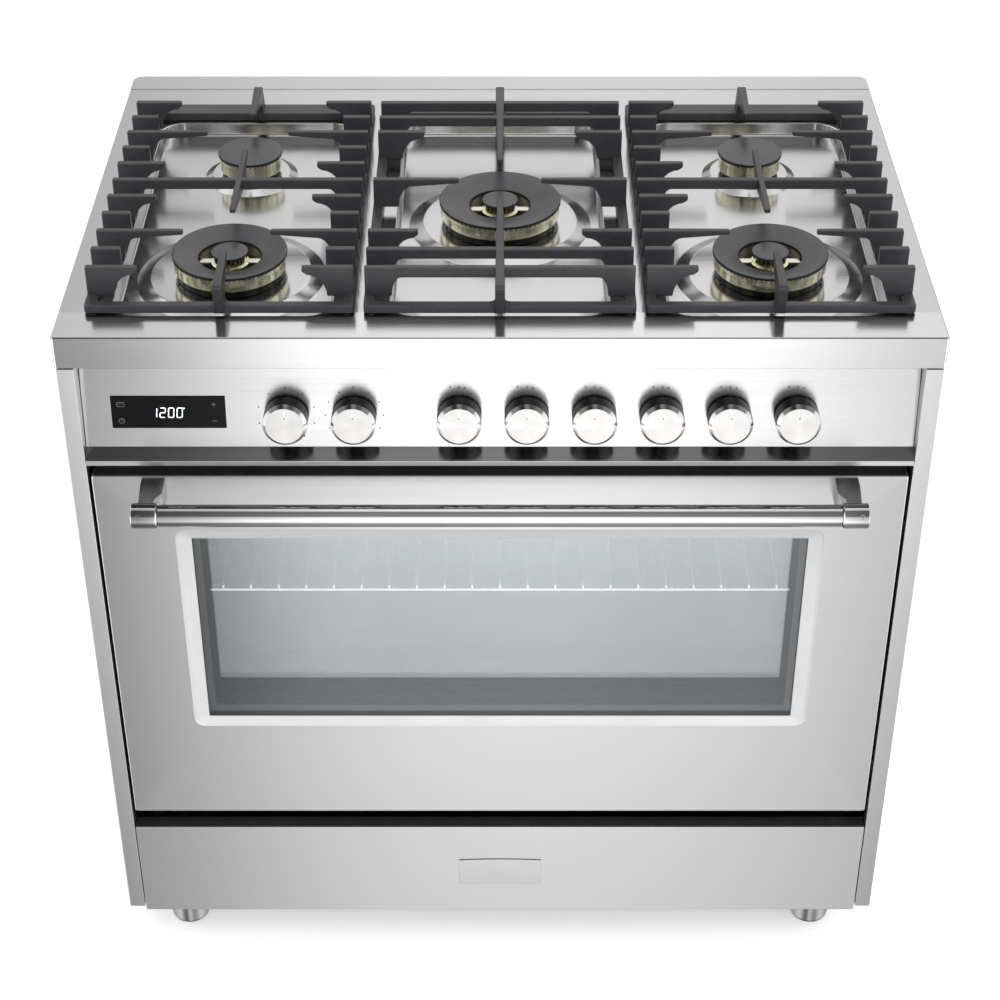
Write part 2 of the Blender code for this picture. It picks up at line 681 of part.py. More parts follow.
def make_door_gasket():
    width = GASKET_WIDTH
    half = CAVITY_HALF + GASKET_MARGIN
    drop = (CAVITY_DROP[0] - GASKET_MARGIN, CAVITY_DROP[1] + GASKET_MARGIN)
    depth = (DOOR_BACK_DEPTH + GAP, CAVITY_DEPTH[0] - GAP)
    gasket = front_prism("door_gasket", ring_outline(half, drop, 0.020), depth)
    inner_drop = (drop[0] + width, drop[1] - width)
    through = (depth[0] - 0.01, depth[1] + 0.01)
    cut(gasket, front_prism("hole", ring_outline(half - width, inner_drop, 0.012), through))
    return dress(gasket, "rubber")


def make_hinge(name, side):
    """A bracket on the oven's flange that holds one of the two pins the door turns on."""
    x = side * HINGE_X
    width = 0.003
    lug = [(CAVITY_DEPTH[0] - GAP, HINGE_DROP - 0.014), (CAVITY_DEPTH[0] - GAP, HINGE_DROP + 0.005)]
    lug += [(HINGE_DEPTH, HINGE_DROP + 0.005), (HINGE_DEPTH - 0.004, HINGE_DROP + 0.002)]
    lug += [(HINGE_DEPTH - 0.004, HINGE_DROP - 0.002), (HINGE_DEPTH, HINGE_DROP - 0.005)]
    bracket = side_prism(name, lug, (x - width, x + width))
    y, z = place(HINGE_DEPTH, HINGE_DROP)
    join(bracket, rod("pin", HINGE_PIN_RADIUS, (x - 0.001 * side, y, z), (x + 0.012 * side, y, z)))
    return dress(bracket, "zinc")


# ---- door ---------------------------------------------------------------------------
def hinge_notches():
    """Room in the door for the hinge brackets, which stay on the oven."""
    notches = []
    for side in (-1, 1):
        x = side * HINGE_X
        drop = (HINGE_DROP - 0.020, DOOR_DROP[1] + 0.01)
        notches.append(box("notch", (x - 0.0055, x + 0.0055), (HINGE_DEPTH - 0.008, 0.05), drop))
    return notches


def make_door_outer():
    """The pressed outer shell: front skin, four sides, and a sunk frame round the window."""
    x = (-DOOR_HALF, DOOR_HALF)
    door = box("door_outer", x, (FACE_DEPTH, DOOR_WALL_DEPTH), DOOR_DROP)
    inside_x = (SHEET - DOOR_HALF, DOOR_HALF - SHEET)
    inside_drop = (DOOR_DROP[0] + SHEET, DOOR_DROP[1] - SHEET)
    cut(door, box("inside", inside_x, (FACE_DEPTH + SHEET, 0.05), inside_drop))
    frame = ring_outline(BEZEL_HALF, BEZEL_DROP, 0.018)
    join(door, front_prism("frame", frame, (FACE_DEPTH + SHEET / 2, BEZEL_DEPTH)))
    opening = box("opening", (-WINDOW_HALF, WINDOW_HALF), (-0.01, 0.02), WINDOW_DROP)
    cut(door, opening, *hinge_notches())
    return dress(door, "steel")


def make_door_liner():
    """The inner sheet of the door, open at its glass, with an ear on each hinge pin."""
    depth = (DOOR_WALL_DEPTH + GAP, DOOR_BACK_DEPTH)
    liner = box("door_liner", (-DOOR_HALF, DOOR_HALF), depth, DOOR_DROP)
    window = (WINDOW_DROP[0] + 0.008, WINDOW_DROP[1] - 0.008)
    cut(liner, box("window", (-0.320, 0.320), (0.03, 0.05), window), *hinge_notches())
    y, z = place(HINGE_DEPTH, HINGE_DROP)
    for side in (-1, 1):
        x = sorted((side * (HINGE_X + 0.007), side * (HINGE_X + 0.010)))
        ear_drop = (HINGE_DROP - 0.014, DOOR_DROP[1] - SHEET - GAP)
        ear = box("ear", x, (HINGE_DEPTH - 0.007, DOOR_BACK_DEPTH - SHEET / 2), ear_drop)
        hole = rod("pin_hole", HINGE_PIN_RADIUS + GAP, (x[0] - 0.01, y, z), (x[1] + 0.01, y, z))
        join(liner, cut(ear, hole))
    return dress(liner, "enamel")


def make_door_glass(name, half, drop, depth):
    pane = front_prism(name, ring_outline(half, drop, 0.006), (depth, depth + GLASS))
    return dress(pane, "glass")


def make_handle_bar():
    y, z = place(HANDLE_DEPTH, HANDLE_DROP)
    half = HANDLE_HALF - HANDLE_CAP_LENGTH - GAP
    return dress(rod("handle_bar", HANDLE_RADIUS, (-half, y, z), (half, y, z), 24), "polished", True)


def make_handle_bracket(name, side):
    """A post on the door that ends in a round socket for the bar."""
    y, z = place(HANDLE_DEPTH, HANDLE_DROP)
    inner = HANDLE_HALF - HANDLE_CAP_LENGTH
    edge = 0.002
    profile = [(0.0, 0.0), (HANDLE_CAP_RADIUS, 0.0), (HANDLE_CAP_RADIUS, HANDLE_CAP_LENGTH - edge)]
    profile += [(HANDLE_CAP_RADIUS - edge, HANDLE_CAP_LENGTH), (0.0, HANDLE_CAP_LENGTH)]
    socket = turned(name, profile, 24)
    socket.data.transform(Matrix.Translation((side * inner, y, z)) @ Matrix.Rotation(side * pi / 2, 4, "Y"))
    back = FACE_DEPTH - GAP
    outline = [(0.350, back), (0.375, back), (0.372, HANDLE_DEPTH), (0.357, HANDLE_DEPTH)]
    outline += [(0.357, HANDLE_DEPTH + 0.012), (0.350, HANDLE_DEPTH + 0.024)]
    top = HOB_TOP - HANDLE_DROP + HANDLE_CAP_RADIUS - 0.0005
    points = [(side * x, FRONT_Y + depth, top) for x, depth in outline]
    post = prism("post", points, (0.0, 0.0, 0.0), (0.0, 0.0, 0.001 - 2 * HANDLE_CAP_RADIUS))
    return dress(join(socket, post), "polished", True)


# ---- drawer -------------------------------------------------------------------------
def make_drawer_front():
    front = box("drawer_front", (-DRAWER_HALF, DRAWER_HALF), (FACE_DEPTH, DRAWER_FRONT_BACK), DRAWER_DROP)
    x = (SHEET - DRAWER_HALF, DRAWER_HALF - SHEET)
    drop = (DRAWER_DROP[0] + SHEET, DRAWER_DROP[1] - SHEET)
    return dress(cut(front, box("inside", x, (FACE_DEPTH + SHEET, 0.05), drop)), "steel")


def make_drawer_box():
    x = (-DRAWER_BOX_HALF, DRAWER_BOX_HALF)
    depth = (DRAWER_FRONT_BACK + GAP, DRAWER_BOX_BACK)
    tray = box("drawer_box", x, depth, DRAWER_BOX_DROP)
    inside_depth = (depth[0] + SHEET, depth[1] - SHEET)
    drop = (DRAWER_BOX_DROP[0] - 0.01, DRAWER_BOX_DROP[1] - SHEET)
    return dress(cut(tray, box("inside", (x[0] + SHEET, x[1] - SHEET), inside_depth, drop)), "zinc")


def make_badge():
    """A blank plate with a slightly arched top."""
    rise = 0.0015
    steps = 8
    arch = []
    for index in range(steps + 1):
        across = 1 - 2 * index / steps
        arch.append((BADGE_HALF * across, BADGE_DROP[0] - rise * (1 - across * across)))
    outline = arch + [(-BADGE_HALF, BADGE_DROP[1]), (BADGE_HALF, BADGE_DROP[1])]
    return dress(front_prism("badge", outline, (FACE_DEPTH - 0.0015, FACE_DEPTH - GAP)), "polished")


# ---- burners ------------------------------------------------------------------------
def seat_burner_piece(item, x, depth):
    y, z = place(depth, 0.0)
    item.location = (x, y, z)


def make_burner_head(name, x, depth, cap_radius):
    """The brass flame ring on its base. The larger ones have a small burner inside."""
    top = CAP_TOP - CAP_THICKNESS - GAP
    seat = BOSS_RISE - WELL_DEPTH + GAP
    waist = seat + 0.0055
    outer = cap_radius - 0.0005
    foot = outer - 0.003
    profile = [(0.0, -0.032), (0.0130, -0.032), (0.0130, seat), (foot, seat), (foot, waist)]
    profile += [(outer, waist), (outer, top)]
    if cap_radius > SMALL_CAP:
        hole = RING_HOLE + 0.002
        profile += [(hole, top - RING_DISH), (hole, waist), (INNER_BURNER, waist)]
        top = CAP_TOP - INNER_CAP_THICKNESS - GAP
        profile.append((INNER_BURNER, top))
    head = turned(name, profile + [(0.0, top)], 24)
    seat_burner_piece(head, x, depth)
    return dress(head, "brass", True)


def make_burner_cap(name, x, depth, cap_radius):
    """The black cap: a disc on the small burners, a ring dished to its hole on the larger ones."""
    low = CAP_TOP - CAP_THICKNESS
    edge = 0.001
    rim = [(cap_radius, low), (cap_radius, CAP_TOP - edge), (cap_radius - 2 * edge, CAP_TOP)]
    if cap_radius > SMALL_CAP:
        hole = [(RING_HOLE, CAP_TOP - RING_DISH), (RING_HOLE, low - RING_DISH)]
        cap = turned(name, rim + hole, 32, hollow=True)
    else:
        cap = turned(name, [(0.0, low)] + rim + [(0.0, CAP_TOP)], 32)
    seat_burner_piece(cap, x, depth)
    return dress(cap, "cast_iron", True)


def make_inner_cap(name, x, depth, cap_radius):
    low = CAP_TOP - INNER_CAP_THICKNESS
    profile = [(0.0, low), (INNER_CAP, low), (INNER_CAP, CAP_TOP - 0.001), (INNER_CAP - 0.002, CAP_TOP)]
    cap = turned(name, profile + [(0.0, CAP_TOP)], 24)
    seat_burner_piece(cap, x, depth)
    return dress(cap, "cast_iron", True)


def finger_outline(length):
    """Side view of a finger as (reach, height): a deep root, a hollow below, a thin tip."""
    top = GRATE_TOP
    root = RAIL_TOP - 0.003
    if length <= FINGER_SHORT:
        return [(EASE, top), (length, top), (length, RAIL_TOP + 0.005), (FINGER_ROOT, root), (EASE, root)]
    neck = FINGER_ROOT + (0.020 if length <= FINGER_MIDDLE else 0.014)
    rise = top - ARM_DEPTH - root
    outline = [(EASE, top), (length, top), (length, top - TIP_DEPTH)]
    for angle in (pi / 2, pi / 3, pi / 6, 0.0):
        outline.append((neck - (neck - FINGER_ROOT) * cos(angle), root + rise * sin(angle)))
    return outline + [(EASE, root)]


def cross_finger(from_x, towards, row, length):
    """A finger that starts at a side rail and points across the grate."""
    y, z = place(CENTRE_DEPTH + row * ROW_PITCH, 0.0)
    points = [(from_x + towards * reach, 0.0, z + height) for reach, height in finger_outline(length)]
    return prism("finger", points, (0.0, y - BAR_WIDTH / 2, 0.0), (0.0, BAR_WIDTH, 0.0))


def full_bar(grate, x, row):
    """A bar right across the grate, with a deep root at each side rail."""
    y, z = place(CENTRE_DEPTH + row * ROW_PITCH, 0.0)
    root = RAIL_TOP - 0.003
    under = GRATE_TOP - BAR_DEPTH
    half = (x[1] - x[0]) / 2 - EASE
    inner = half - FINGER_ROOT
    side = [(half, root), (half, GRATE_TOP)]
    near = [(inner, root), (inner - 0.003, root + 0.6 * (under - root)), (inner - 0.010, under)]
    outline = side[::-1] + near + [(-reach, height) for reach, height in near[::-1] + side]
    middle = (x[0] + x[1]) / 2
    points = [(middle + reach, 0.0, z + height) for reach, height in outline]
    join(grate, prism("bar", points, (0.0, y - BAR_WIDTH / 2, 0.0), (0.0, BAR_WIDTH, 0.0)))


def spine(x, outline):
    """A fore-and-aft finger from (offset from the middle, height) points."""
    y, z = place(CENTRE_DEPTH, 0.0)
    points = [(x - SPINE_WIDTH / 2, y + offset, z + height) for offset, height in outline]
    return prism("spine", points, (0.0, 0.0, 0.0), (SPINE_WIDTH, 0.0, 0.0))


def end_spine_outline(end, tip):
    """The spine at one end (-1 front, 1 rear): a sloping nose down to the rail, and a thin tip."""
    top = GRATE_TOP
    low = GRATE_FOOT + 0.0005
    if end < 0:
        reach, inner, foot = FRONT_REACH, FRONT_RAIL[0] - 0.003, FRONT_RAIL[1] + 0.003
    else:
        reach, inner, foot = REAR_REACH, REAR_RAIL[0] - 0.003, REAR_RAIL[1] - 0.003
    outline = [(reach, top - 0.003), (reach - 0.003, top), (tip, top), (tip, top - TIP_DEPTH)]
    outline += [(inner - 0.018, top - 0.0118), (inner - 0.005, top - 0.0165), (inner, RAIL_TOP + 0.004)]
    outline += [(inner, low), (foot, low), (foot + 0.0015, RAIL_TOP)]
    return [(end * offset, height) for offset, height in outline]


def middle_spine_outline(reach):
    top = GRATE_TOP
    return [(-reach, top), (reach, top), (reach, top - TIP_DEPTH), (0.012, top - 0.013),
            (-0.012, top - 0.013), (-reach, top - TIP_DEPTH)]


def grate_frame(name, x):
    """The low rectangular rail round a grate, wider along the rear, on four small feet."""
    depth = (CENTRE_DEPTH - FRONT_RAIL[1], CENTRE_DEPTH + REAR_RAIL[1])
    frame = box(name, x, depth, (-RAIL_TOP, -GRATE_FOOT))
    inner_x = (x[0] + RAIL_WIDTH, x[1] - RAIL_WIDTH)
    inner_depth = (CENTRE_DEPTH - FRONT_RAIL[0], CENTRE_DEPTH + REAR_RAIL[0])
    cut(frame, box("inside", inner_x, inner_depth, (-0.05, 0.01)))
    for foot_x in (x[0] + 0.001, x[1] - 0.013):
        for foot_depth in (depth[0] + 0.001, depth[1] - 0.013):
            foot = (foot_depth, foot_depth + 0.012)
            join(frame, box("foot", (foot_x, foot_x + 0.012), foot, (-0.004, -GAP)))
    return frame


def make_side_grate(name, side):
    x = tuple(sorted((side * SIDE_GRATE[0], side * SIDE_GRATE[1])))
    grate = grate_frame(name, x)
    lengths = {1: FINGER_MIDDLE, 2: FINGER_SHORT, 3: FINGER_LONG, 4: FINGER_SHORT, 5: FINGER_MIDDLE}
    for row, length in lengths.items():
        for sign in (-1, 1):
            join(grate, cross_finger(x[0], 1, sign * row, length))
            join(grate, cross_finger(x[1], -1, sign * row, length))
    full_bar(grate, x, 0)
    middle = side * SIDE_BURNER_X
    tip = SIDE_BURNER_OFFSET + BURNER_CLEAR
    for end in (-1, 1):
        join(grate, spine(middle, end_spine_outline(end, tip)))
    join(grate, spine(middle, middle_spine_outline(SIDE_BURNER_OFFSET - BURNER_CLEAR)))
    return dress(grate, "cast_iron")


def make_centre_grate():
    x = CENTRE_GRATE
    grate = grate_frame("grate_centre", x)
    for row in (-5, -4, 4, 5):
        full_bar(grate, x, row)
    fingers = {-3: FINGER_MIDDLE, 0: x[1] - BURNER_CLEAR, 3: FINGER_MIDDLE}
    for row, length in fingers.items():
        join(grate, cross_finger(x[0], 1, row, length), cross_finger(x[1], -1, row, length))
    for end in (-1, 1):
        join(grate, spine(0.0, end_spine_outline(end, BURNER_CLEAR)))
    return dress(grate, "cast_iron")


# ---- assembly -----------------------------------------------------------------------
def build_cabinet():
    make_worktop()
    make_rear_trim()
    make_side_panel("side_panel_left", -1)
    make_side_panel("side_panel_right", 1)
    make_back_panel()
    make_base_pan()
    for end, depth in FOOT_DEPTHS.items():
        make_foot("foot_" + end + "_left", -FOOT_X, depth)
        make_foot("foot_" + end + "_right", FOOT_X, depth)


def build_controls():
    make_control_fascia()
    make_display()
    make_gas_manifold()
    for name, x in OVEN_KNOBS.items():
        make_knob(name, x, OVEN_SHAFT)
    for number, x in enumerate(gas_knob_positions(), start=1):
        make_knob("gas_knob_" + str(number), x, 0.0)
        make_spindle("valve_spindle_" + str(number), x)


def build_oven():
    make_oven_cavity()
    make_oven_rack()
    make_fan_cover()
    make_convection_fan()
    make_door_gasket()
    make_hinge("hinge_left", -1)
    make_hinge("hinge_right", 1)


def build_door():
    outer_drop = (WINDOW_DROP[0] - 0.011, WINDOW_DROP[1] + 0.011)
    inner_drop = (WINDOW_DROP[0] - 0.002, WINDOW_DROP[1] + 0.002)
    inner_depth = DOOR_WALL_DEPTH - GLASS
    pieces = [
        make_door_outer(),
        make_door_liner(),
        make_door_glass("door_glass_outer", WINDOW_HALF + 0.011, outer_drop, BEZEL_DEPTH + GAP),
        make_door_glass("door_glass_inner", 0.330, inner_drop, inner_depth),
        make_handle_bar(),
        make_handle_bracket("handle_bracket_left", -1),
        make_handle_bracket("handle_bracket_right", 1),
    ]
    hang("door_pivot", (0.0, *place(HINGE_DEPTH, HINGE_DROP)), pieces)


def build_drawer():
    pieces = [make_drawer_front(), make_drawer_box(), make_badge()]
    hang("drawer_slide", (0.0, *place(FACE_DEPTH, DRAWER_DROP[1])), pieces)


def build_hob():
    for place_name, x, depth, cap_radius in burners():
        make_burner_head("burner_head_" + place_name, x, depth, cap_radius)
        make_burner_cap("burner_cap_" + place_name, x, depth, cap_radius)
        if cap_radius > SMALL_CAP:
            make_inner_cap("inner_cap_" + place_name, x, depth, cap_radius)
    make_side_grate("grate_left", -1)
    make_side_grate("grate_right", 1)
    make_centre_grate()


def main():
    clear_scene()
    build_cabinet()
    build_controls()
    build_oven()
    build_door()
    build_drawer()
    build_hob()


main()
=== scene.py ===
"""Looks of a freestanding gas range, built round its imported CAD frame."""

import json
from math import cos, pi, radians, sin, sqrt

import bmesh
import bpy
from mathutils import Matrix, Vector


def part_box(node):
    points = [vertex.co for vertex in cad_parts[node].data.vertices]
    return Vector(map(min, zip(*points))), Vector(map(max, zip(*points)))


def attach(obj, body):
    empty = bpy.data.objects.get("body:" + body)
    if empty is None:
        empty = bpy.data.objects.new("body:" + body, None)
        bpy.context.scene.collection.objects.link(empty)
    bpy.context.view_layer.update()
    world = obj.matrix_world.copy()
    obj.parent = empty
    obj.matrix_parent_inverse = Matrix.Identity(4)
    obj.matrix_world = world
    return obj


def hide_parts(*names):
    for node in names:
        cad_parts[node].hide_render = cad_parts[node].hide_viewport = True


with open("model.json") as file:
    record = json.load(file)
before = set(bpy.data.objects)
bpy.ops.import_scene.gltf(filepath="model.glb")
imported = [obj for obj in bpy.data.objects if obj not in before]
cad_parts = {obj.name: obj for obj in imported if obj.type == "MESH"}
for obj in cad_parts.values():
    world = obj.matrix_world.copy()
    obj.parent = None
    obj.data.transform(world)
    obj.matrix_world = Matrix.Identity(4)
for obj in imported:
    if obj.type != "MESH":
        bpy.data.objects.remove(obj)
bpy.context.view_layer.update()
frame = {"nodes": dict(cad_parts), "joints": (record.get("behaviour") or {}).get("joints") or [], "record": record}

RECORD = frame["record"]
NODES = frame["nodes"]
BODY_OF = {n: body for body, names in RECORD["behaviour"]["bodies"].items() for n in names}
SLOT_OF = {row["node"]: row["material_slot"] for row in RECORD["subparts"]}
JOINTS = {joint["name"]: joint for joint in frame["joints"]}

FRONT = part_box("worktop")[0].y
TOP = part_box("worktop")[1].z
SIDES = (-1, 1)
CROWN = 0.05  # depth of the strip along the worktop's front that falls forward


def hob(x, depth, height):
    """World point from X, a depth behind the worktop's front and a height over its top."""
    return Vector((x, FRONT + depth, TOP + height))


# ---- node materials -----------------------------------------------------------------
class Nodes:
    """Adds nodes to one tree."""

    def __init__(self, tree):
        self.tree = tree

    def feed(self, target, value):
        """Link a node's output to an input, or set the input to a plain value."""
        if isinstance(value, bpy.types.NodeSocket):
            self.tree.links.new(value, target)
        else:
            target.default_value = value
        return self

    def node(self, kind, inputs=(), **settings):
        made = self.tree.nodes.new(kind)
        for key, value in settings.items():
            setattr(made, key, value)
        for socket, value in dict(inputs).items():
            self.feed(made.inputs[socket], value)
        return made

    def ranged(self, source, low, high, start=0.3, stop=0.7, **settings):
        inputs = {"Value": source, "From Min": start, "From Max": stop, "To Min": low, "To Max": high}
        return self.node("ShaderNodeMapRange", inputs, **settings).outputs["Result"]


class Finish(Nodes):
    """A Principled material with helpers for procedural detail in object coordinates."""

    def __init__(self, name, colour, roughness, metallic=0.0, **sockets):
        self.material = bpy.data.materials.new(name)
        self.material.use_nodes = True
        super().__init__(self.material.node_tree)
        self.colour = colour
        self.roughness = roughness
        self.shade("Base Color", (*colour, 1)).shade("Roughness", roughness).shade("Metallic", metallic)
        for socket, value in sockets.items():
            self.shade(socket.replace("_", " "), value)
        self.coords = self.node("ShaderNodeTexCoord").outputs["Object"]
        self.bumps = None

    def shade(self, socket, value):
        return self.feed(self.tree.nodes["Principled BSDF"].inputs[socket], value)

    def noise(self, scale, detail=3.0, roughness=0.55, stretch=(1, 1, 1)):
        mapping = self.node("ShaderNodeMapping", {"Vector": self.coords, "Scale": [scale * s for s in stretch]})
        inputs = {"Vector": mapping.outputs["Vector"], "Scale": 1.0, "Detail": detail, "Roughness": roughness}
        return self.node("ShaderNodeTexNoise", inputs).outputs["Fac"]

    def rough(self, source, spread, start=0.3, stop=0.7):
        low, high = self.roughness - spread, self.roughness + spread
        return self.shade("Roughness", self.ranged(source, low, high, start, stop))

    def tint(self, source, darker, start=0.3, stop=0.7):
        """Colour variation: down to this share of the base colour."""
        dark = (*[c * darker for c in self.colour], 1)
        inputs = {"Factor": self.ranged(source, 0, 1, start, stop), 6: dark, 7: (*self.colour, 1)}
        return self.shade("Base Color", self.node("ShaderNodeMix", inputs, data_type="RGBA").outputs[2])

    def bump(self, source, strength, distance):
        inputs = {"Strength": strength, "Distance": distance, "Height": source}
        if self.bumps:
            inputs["Normal"] = self.bumps
        self.bumps = self.node("ShaderNodeBump", inputs).outputs["Normal"]
        return self.shade("Normal", self.bumps)

    def across_grain(self, grain):
        """Stretch highlights across the grain, as brushing does."""
        normal = self.node("ShaderNodeNewGeometry").outputs["Normal"]
        cross = self.node("ShaderNodeVectorMath", {0: normal, 1: grain}, operation="CROSS_PRODUCT")
        return self.shade("Tangent", cross.outputs["Vector"])


def brushed(name, colour, roughness, grain, strength=0.08, anisotropy=0.75, fall=0.0):
    """Sheet metal with fine scratches along one axis (0 X, 1 Y, 2 Z) and faint clouding.

    A fall tips the normal forward over the front strip, like the crown of a pressed sheet.
    """
    finish = Finish(name, colour, roughness, 1, Anisotropic=anisotropy)
    stretch = [1, 1, 1]
    stretch[grain] = 0.012
    fine = finish.noise(1500.0, 2.0, 0.7, stretch)
    streak = finish.noise(260.0, 3.0, 0.65, stretch)
    finish.rough(streak, 0.02).tint(fine, 0.97)
    finish.bump(fine, strength, 0.00003)
    if fall:
        place = finish.node("ShaderNodeSeparateXYZ", {"Vector": finish.coords})
        finish.bump(finish.ranged(place.outputs["Y"], 0, 1, FRONT, FRONT + CROWN), 1, fall)
    direction = [0, 0, 0]
    direction[grain] = 1.0
    return finish.across_grain(direction).material


def polished(name, colour, roughness):
    """Polished metal: faint wipe marks in the gloss and very slight waviness."""
    finish = Finish(name, colour, roughness, 1)
    wipe = finish.noise(60.0, 5.0, 0.6, (1, 0.25, 1))
    wave = finish.noise(14.0, 2.0)
    finish.rough(wipe, roughness * 0.45).tint(wipe, 0.96)
    return finish.bump(wave, 0.12, 0.0002).material


def turned_face(name, colour, roughness):
    """A faced-off disc in its own frame: fine rings and broad radial sheen."""
    finish = Finish(name, colour, roughness, 1, Anisotropic=0.6)
    inputs = {"Vector": finish.coords, "Scale": 700.0, "Distortion": 0.2}
    wave = finish.node("ShaderNodeTexWave", inputs, wave_type="RINGS", rings_direction="Z")
    finish.rough(finish.noise(120.0, 2.0), 0.02)
    finish.bump(wave.outputs["Fac"], 0.03, 0.00003)
    tangent = finish.node("ShaderNodeTangent", direction_type="RADIAL", axis="Z")
    return finish.shade("Tangent", tangent.outputs["Tangent"]).material


def coated(name, colour, roughness, grit, depth, darker=0.8, shine=0.5, metallic=0.0):
    """Enamel, casting or moulding: mottled colour, uneven gloss and a grained surface."""
    finish = Finish(name, colour, roughness, metallic, Specular_IOR_Level=shine)
    grain = finish.noise(grit, 3.0, 0.6)
    cloud = finish.noise(18.0, 3.0)
    finish.rough(cloud, 0.06).tint(finish.noise(grit * 0.3, 2.0), darker)
    return finish.bump(grain, 0.5, depth).bump(cloud, 0.1, 0.0006).material


def galvanised(name):
    finish = Finish(name, (0.56, 0.57, 0.58), 0.42, 1)
    cells = finish.node("ShaderNodeTexVoronoi", {"Vector": finish.coords, "Scale": 90.0})
    split = finish.node("ShaderNodeSeparateColor", {"Color": cells.outputs["Color"]})
    finish.tint(split.outputs["Red"], 0.82, 0, 1).rough(split.outputs["Green"], 0.1, 0, 1)
    return finish.bump(finish.noise(300.0), 0.15, 0.0001).material


def glassy(name, alpha):
    """Coated oven glass: part mirror, part clear."""
    finish = Finish(name, (0.8, 0.84, 0.87), 0.03, 1, Alpha=alpha)
    smear = finish.noise(7.0, 3.0)
    return finish.rough(smear, 0.008).tint(smear, 0.985).material


def glowing(name, colour, roughness, metallic, light, strength, grit):
    """A bright mark that also gives off a little light of its own: the lit display digits, and a painted glow on
    the rack's front wire.
    """
    finish = Finish(name, colour, roughness, metallic, Emission_Color=(*light, 1), Emission_Strength=strength)
    return finish.rough(finish.noise(grit), 0.05).material


STEEL = (0.7, 0.7, 0.705)
MATERIALS = {
    "steel": brushed("brushed_steel_across", STEEL, 0.3, 0),
    "panel": brushed("panel_steel", STEEL, 0.24, 0),
    "steel_side": brushed("brushed_steel_upright", STEEL, 0.3, 2),
    "worktop": brushed("worktop_steel", STEEL, 0.17, 0, 0.03, 0.6, 0.003),
    # The ledge's darker steel colour is painted shade on the strip below the panel.
    "ledge": brushed("ledge_painted_shade", (0.56, 0.56, 0.57), 0.13, 0, 0.02, 0.85),
    "lip": brushed("ledge_lip_steel", (0.74, 0.74, 0.745), 0.3, 0, 0.05, 0.5),
    "polished": polished("polished_steel", (0.74, 0.74, 0.745), 0.07),
    "bracket": polished("bracket_steel", (0.62, 0.61, 0.6), 0.5),
    "frame": coated("window_frame", (0.66, 0.66, 0.665), 0.4, 900.0, 0.00001, 0.97, 0.5, 0.45),
    "chrome": polished("knob_chamfer", (0.66, 0.66, 0.67), 0.12),
    "knob_side": polished("knob_side", (0.035, 0.035, 0.037), 0.3),
    "knob_face": turned_face("knob_face", (0.8, 0.79, 0.775), 0.34),
    "dark_mark": coated("dark_mark", (0.06, 0.06, 0.062), 0.45, 900.0, 0.00002),
    "zinc": galvanised("zinc_sheet"),
    "plated": polished("plated_steel", (0.5, 0.5, 0.48), 0.22),
    "enamel": coated("oven_enamel", (0.028, 0.029, 0.032), 0.25, 160.0, 0.0001, 0.7, 0.35),
    "rack_wire": polished("rack_plating_painted_shade", (0.17, 0.175, 0.18), 0.35),
    # Rack wires darkened: painted shade of the oven's inside.
    "fan": brushed("fan_steel", (0.45, 0.45, 0.46), 0.35, 0),
    "rubber": coated("seal_rubber", (0.018, 0.018, 0.018), 0.75, 500.0, 0.0001),
    "display": coated("display_glass", (0.006, 0.006, 0.007), 0.1, 700.0, 0.000004, 0.8, 0.12),
    "glass": glassy("door_glass", 0.1),
    "inner_glass": glassy("door_inner_glass", 0.3),
    "border": coated("printed_glass_border", (0.02, 0.021, 0.023), 0.2, 800.0, 0.00001),
    "brass": polished("burner_brass", (1, 0.97, 0.7), 0.2),
    "spoke": polished("burner_spoke", (0.8, 0.78, 0.68), 0.18),
    "brass_base": polished("burner_base", (0.06, 0.058, 0.054), 0.24),
    "cap": coated("cap_enamel", (0.044, 0.045, 0.048), 0.3, 650.0, 0.00004, 0.9, 0.6),
    # The caps' upright faces: a darker copy of the cap enamel, painted shade on the cap's edge.
    "cap_side_shade": coated("cap_edge_painted_shade", (0.012, 0.012, 0.013), 0.45, 650.0, 0.00004, 0.9, 0.25),
    "iron": coated("cast_iron", (0.038, 0.039, 0.042), 0.4, 420.0, 0.00014, 0.8, 0.58),
    "foot": brushed("foot_steel", (0.6, 0.6, 0.61), 0.25, 2, 0.05, 0.3),
    "digits": glowing("display_digits", (0.9, 0.93, 0.95), 0.4, 0, (0.9, 0.95, 1), 1.6, 300.0),
    # The rack's front wire glows: a painted highlight, not a lamp.
    "rack_front": glowing("rack_front_painted_glow", (0.9, 0.91, 0.92), 0.3, 0.5, (0.93, 0.96, 1), 0.8, 200.0),
    "icons": coated("display_icons", (0.16, 0.16, 0.165), 0.35, 900.0, 0.00001),
}


# ---- mesh helpers -------------------------------------------------------------------
def span(node, axis):
    """Middle and half length of a CAD node's box along an axis."""
    low, high = (getattr(corner, axis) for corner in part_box(node))
    return (low + high) / 2, (high - low) / 2


def placed(name, data):
    item = bpy.data.objects.new(name, data)
    bpy.context.scene.collection.objects.link(item)
    return item


def as_mesh(name, bm):
    mesh = bpy.data.meshes.new(name)
    bm.to_mesh(mesh)
    bm.free()
    return mesh


def outward(bm):
    bmesh.ops.recalc_face_normals(bm, faces=bm.faces)


def even_normals(item):
    item.modifiers.new("even_normals", "WEIGHTED_NORMAL").keep_sharp = True


def thicken(item, thickness):
    """Give a sheet its thickness, on the inner side."""
    sheet = item.modifiers.new("sheet", "SOLIDIFY")
    sheet.thickness = thickness
    sheet.offset = -1.0
    even_normals(item)


def piece(name, bm, material, node, smooth=35.0, weighted=True, at=None, instead=True):
    """Turn a bmesh into a shown piece that rides with a CAD node."""
    outward(bm)
    return mount(name, as_mesh(name, bm), material, node, smooth, weighted, at, instead)


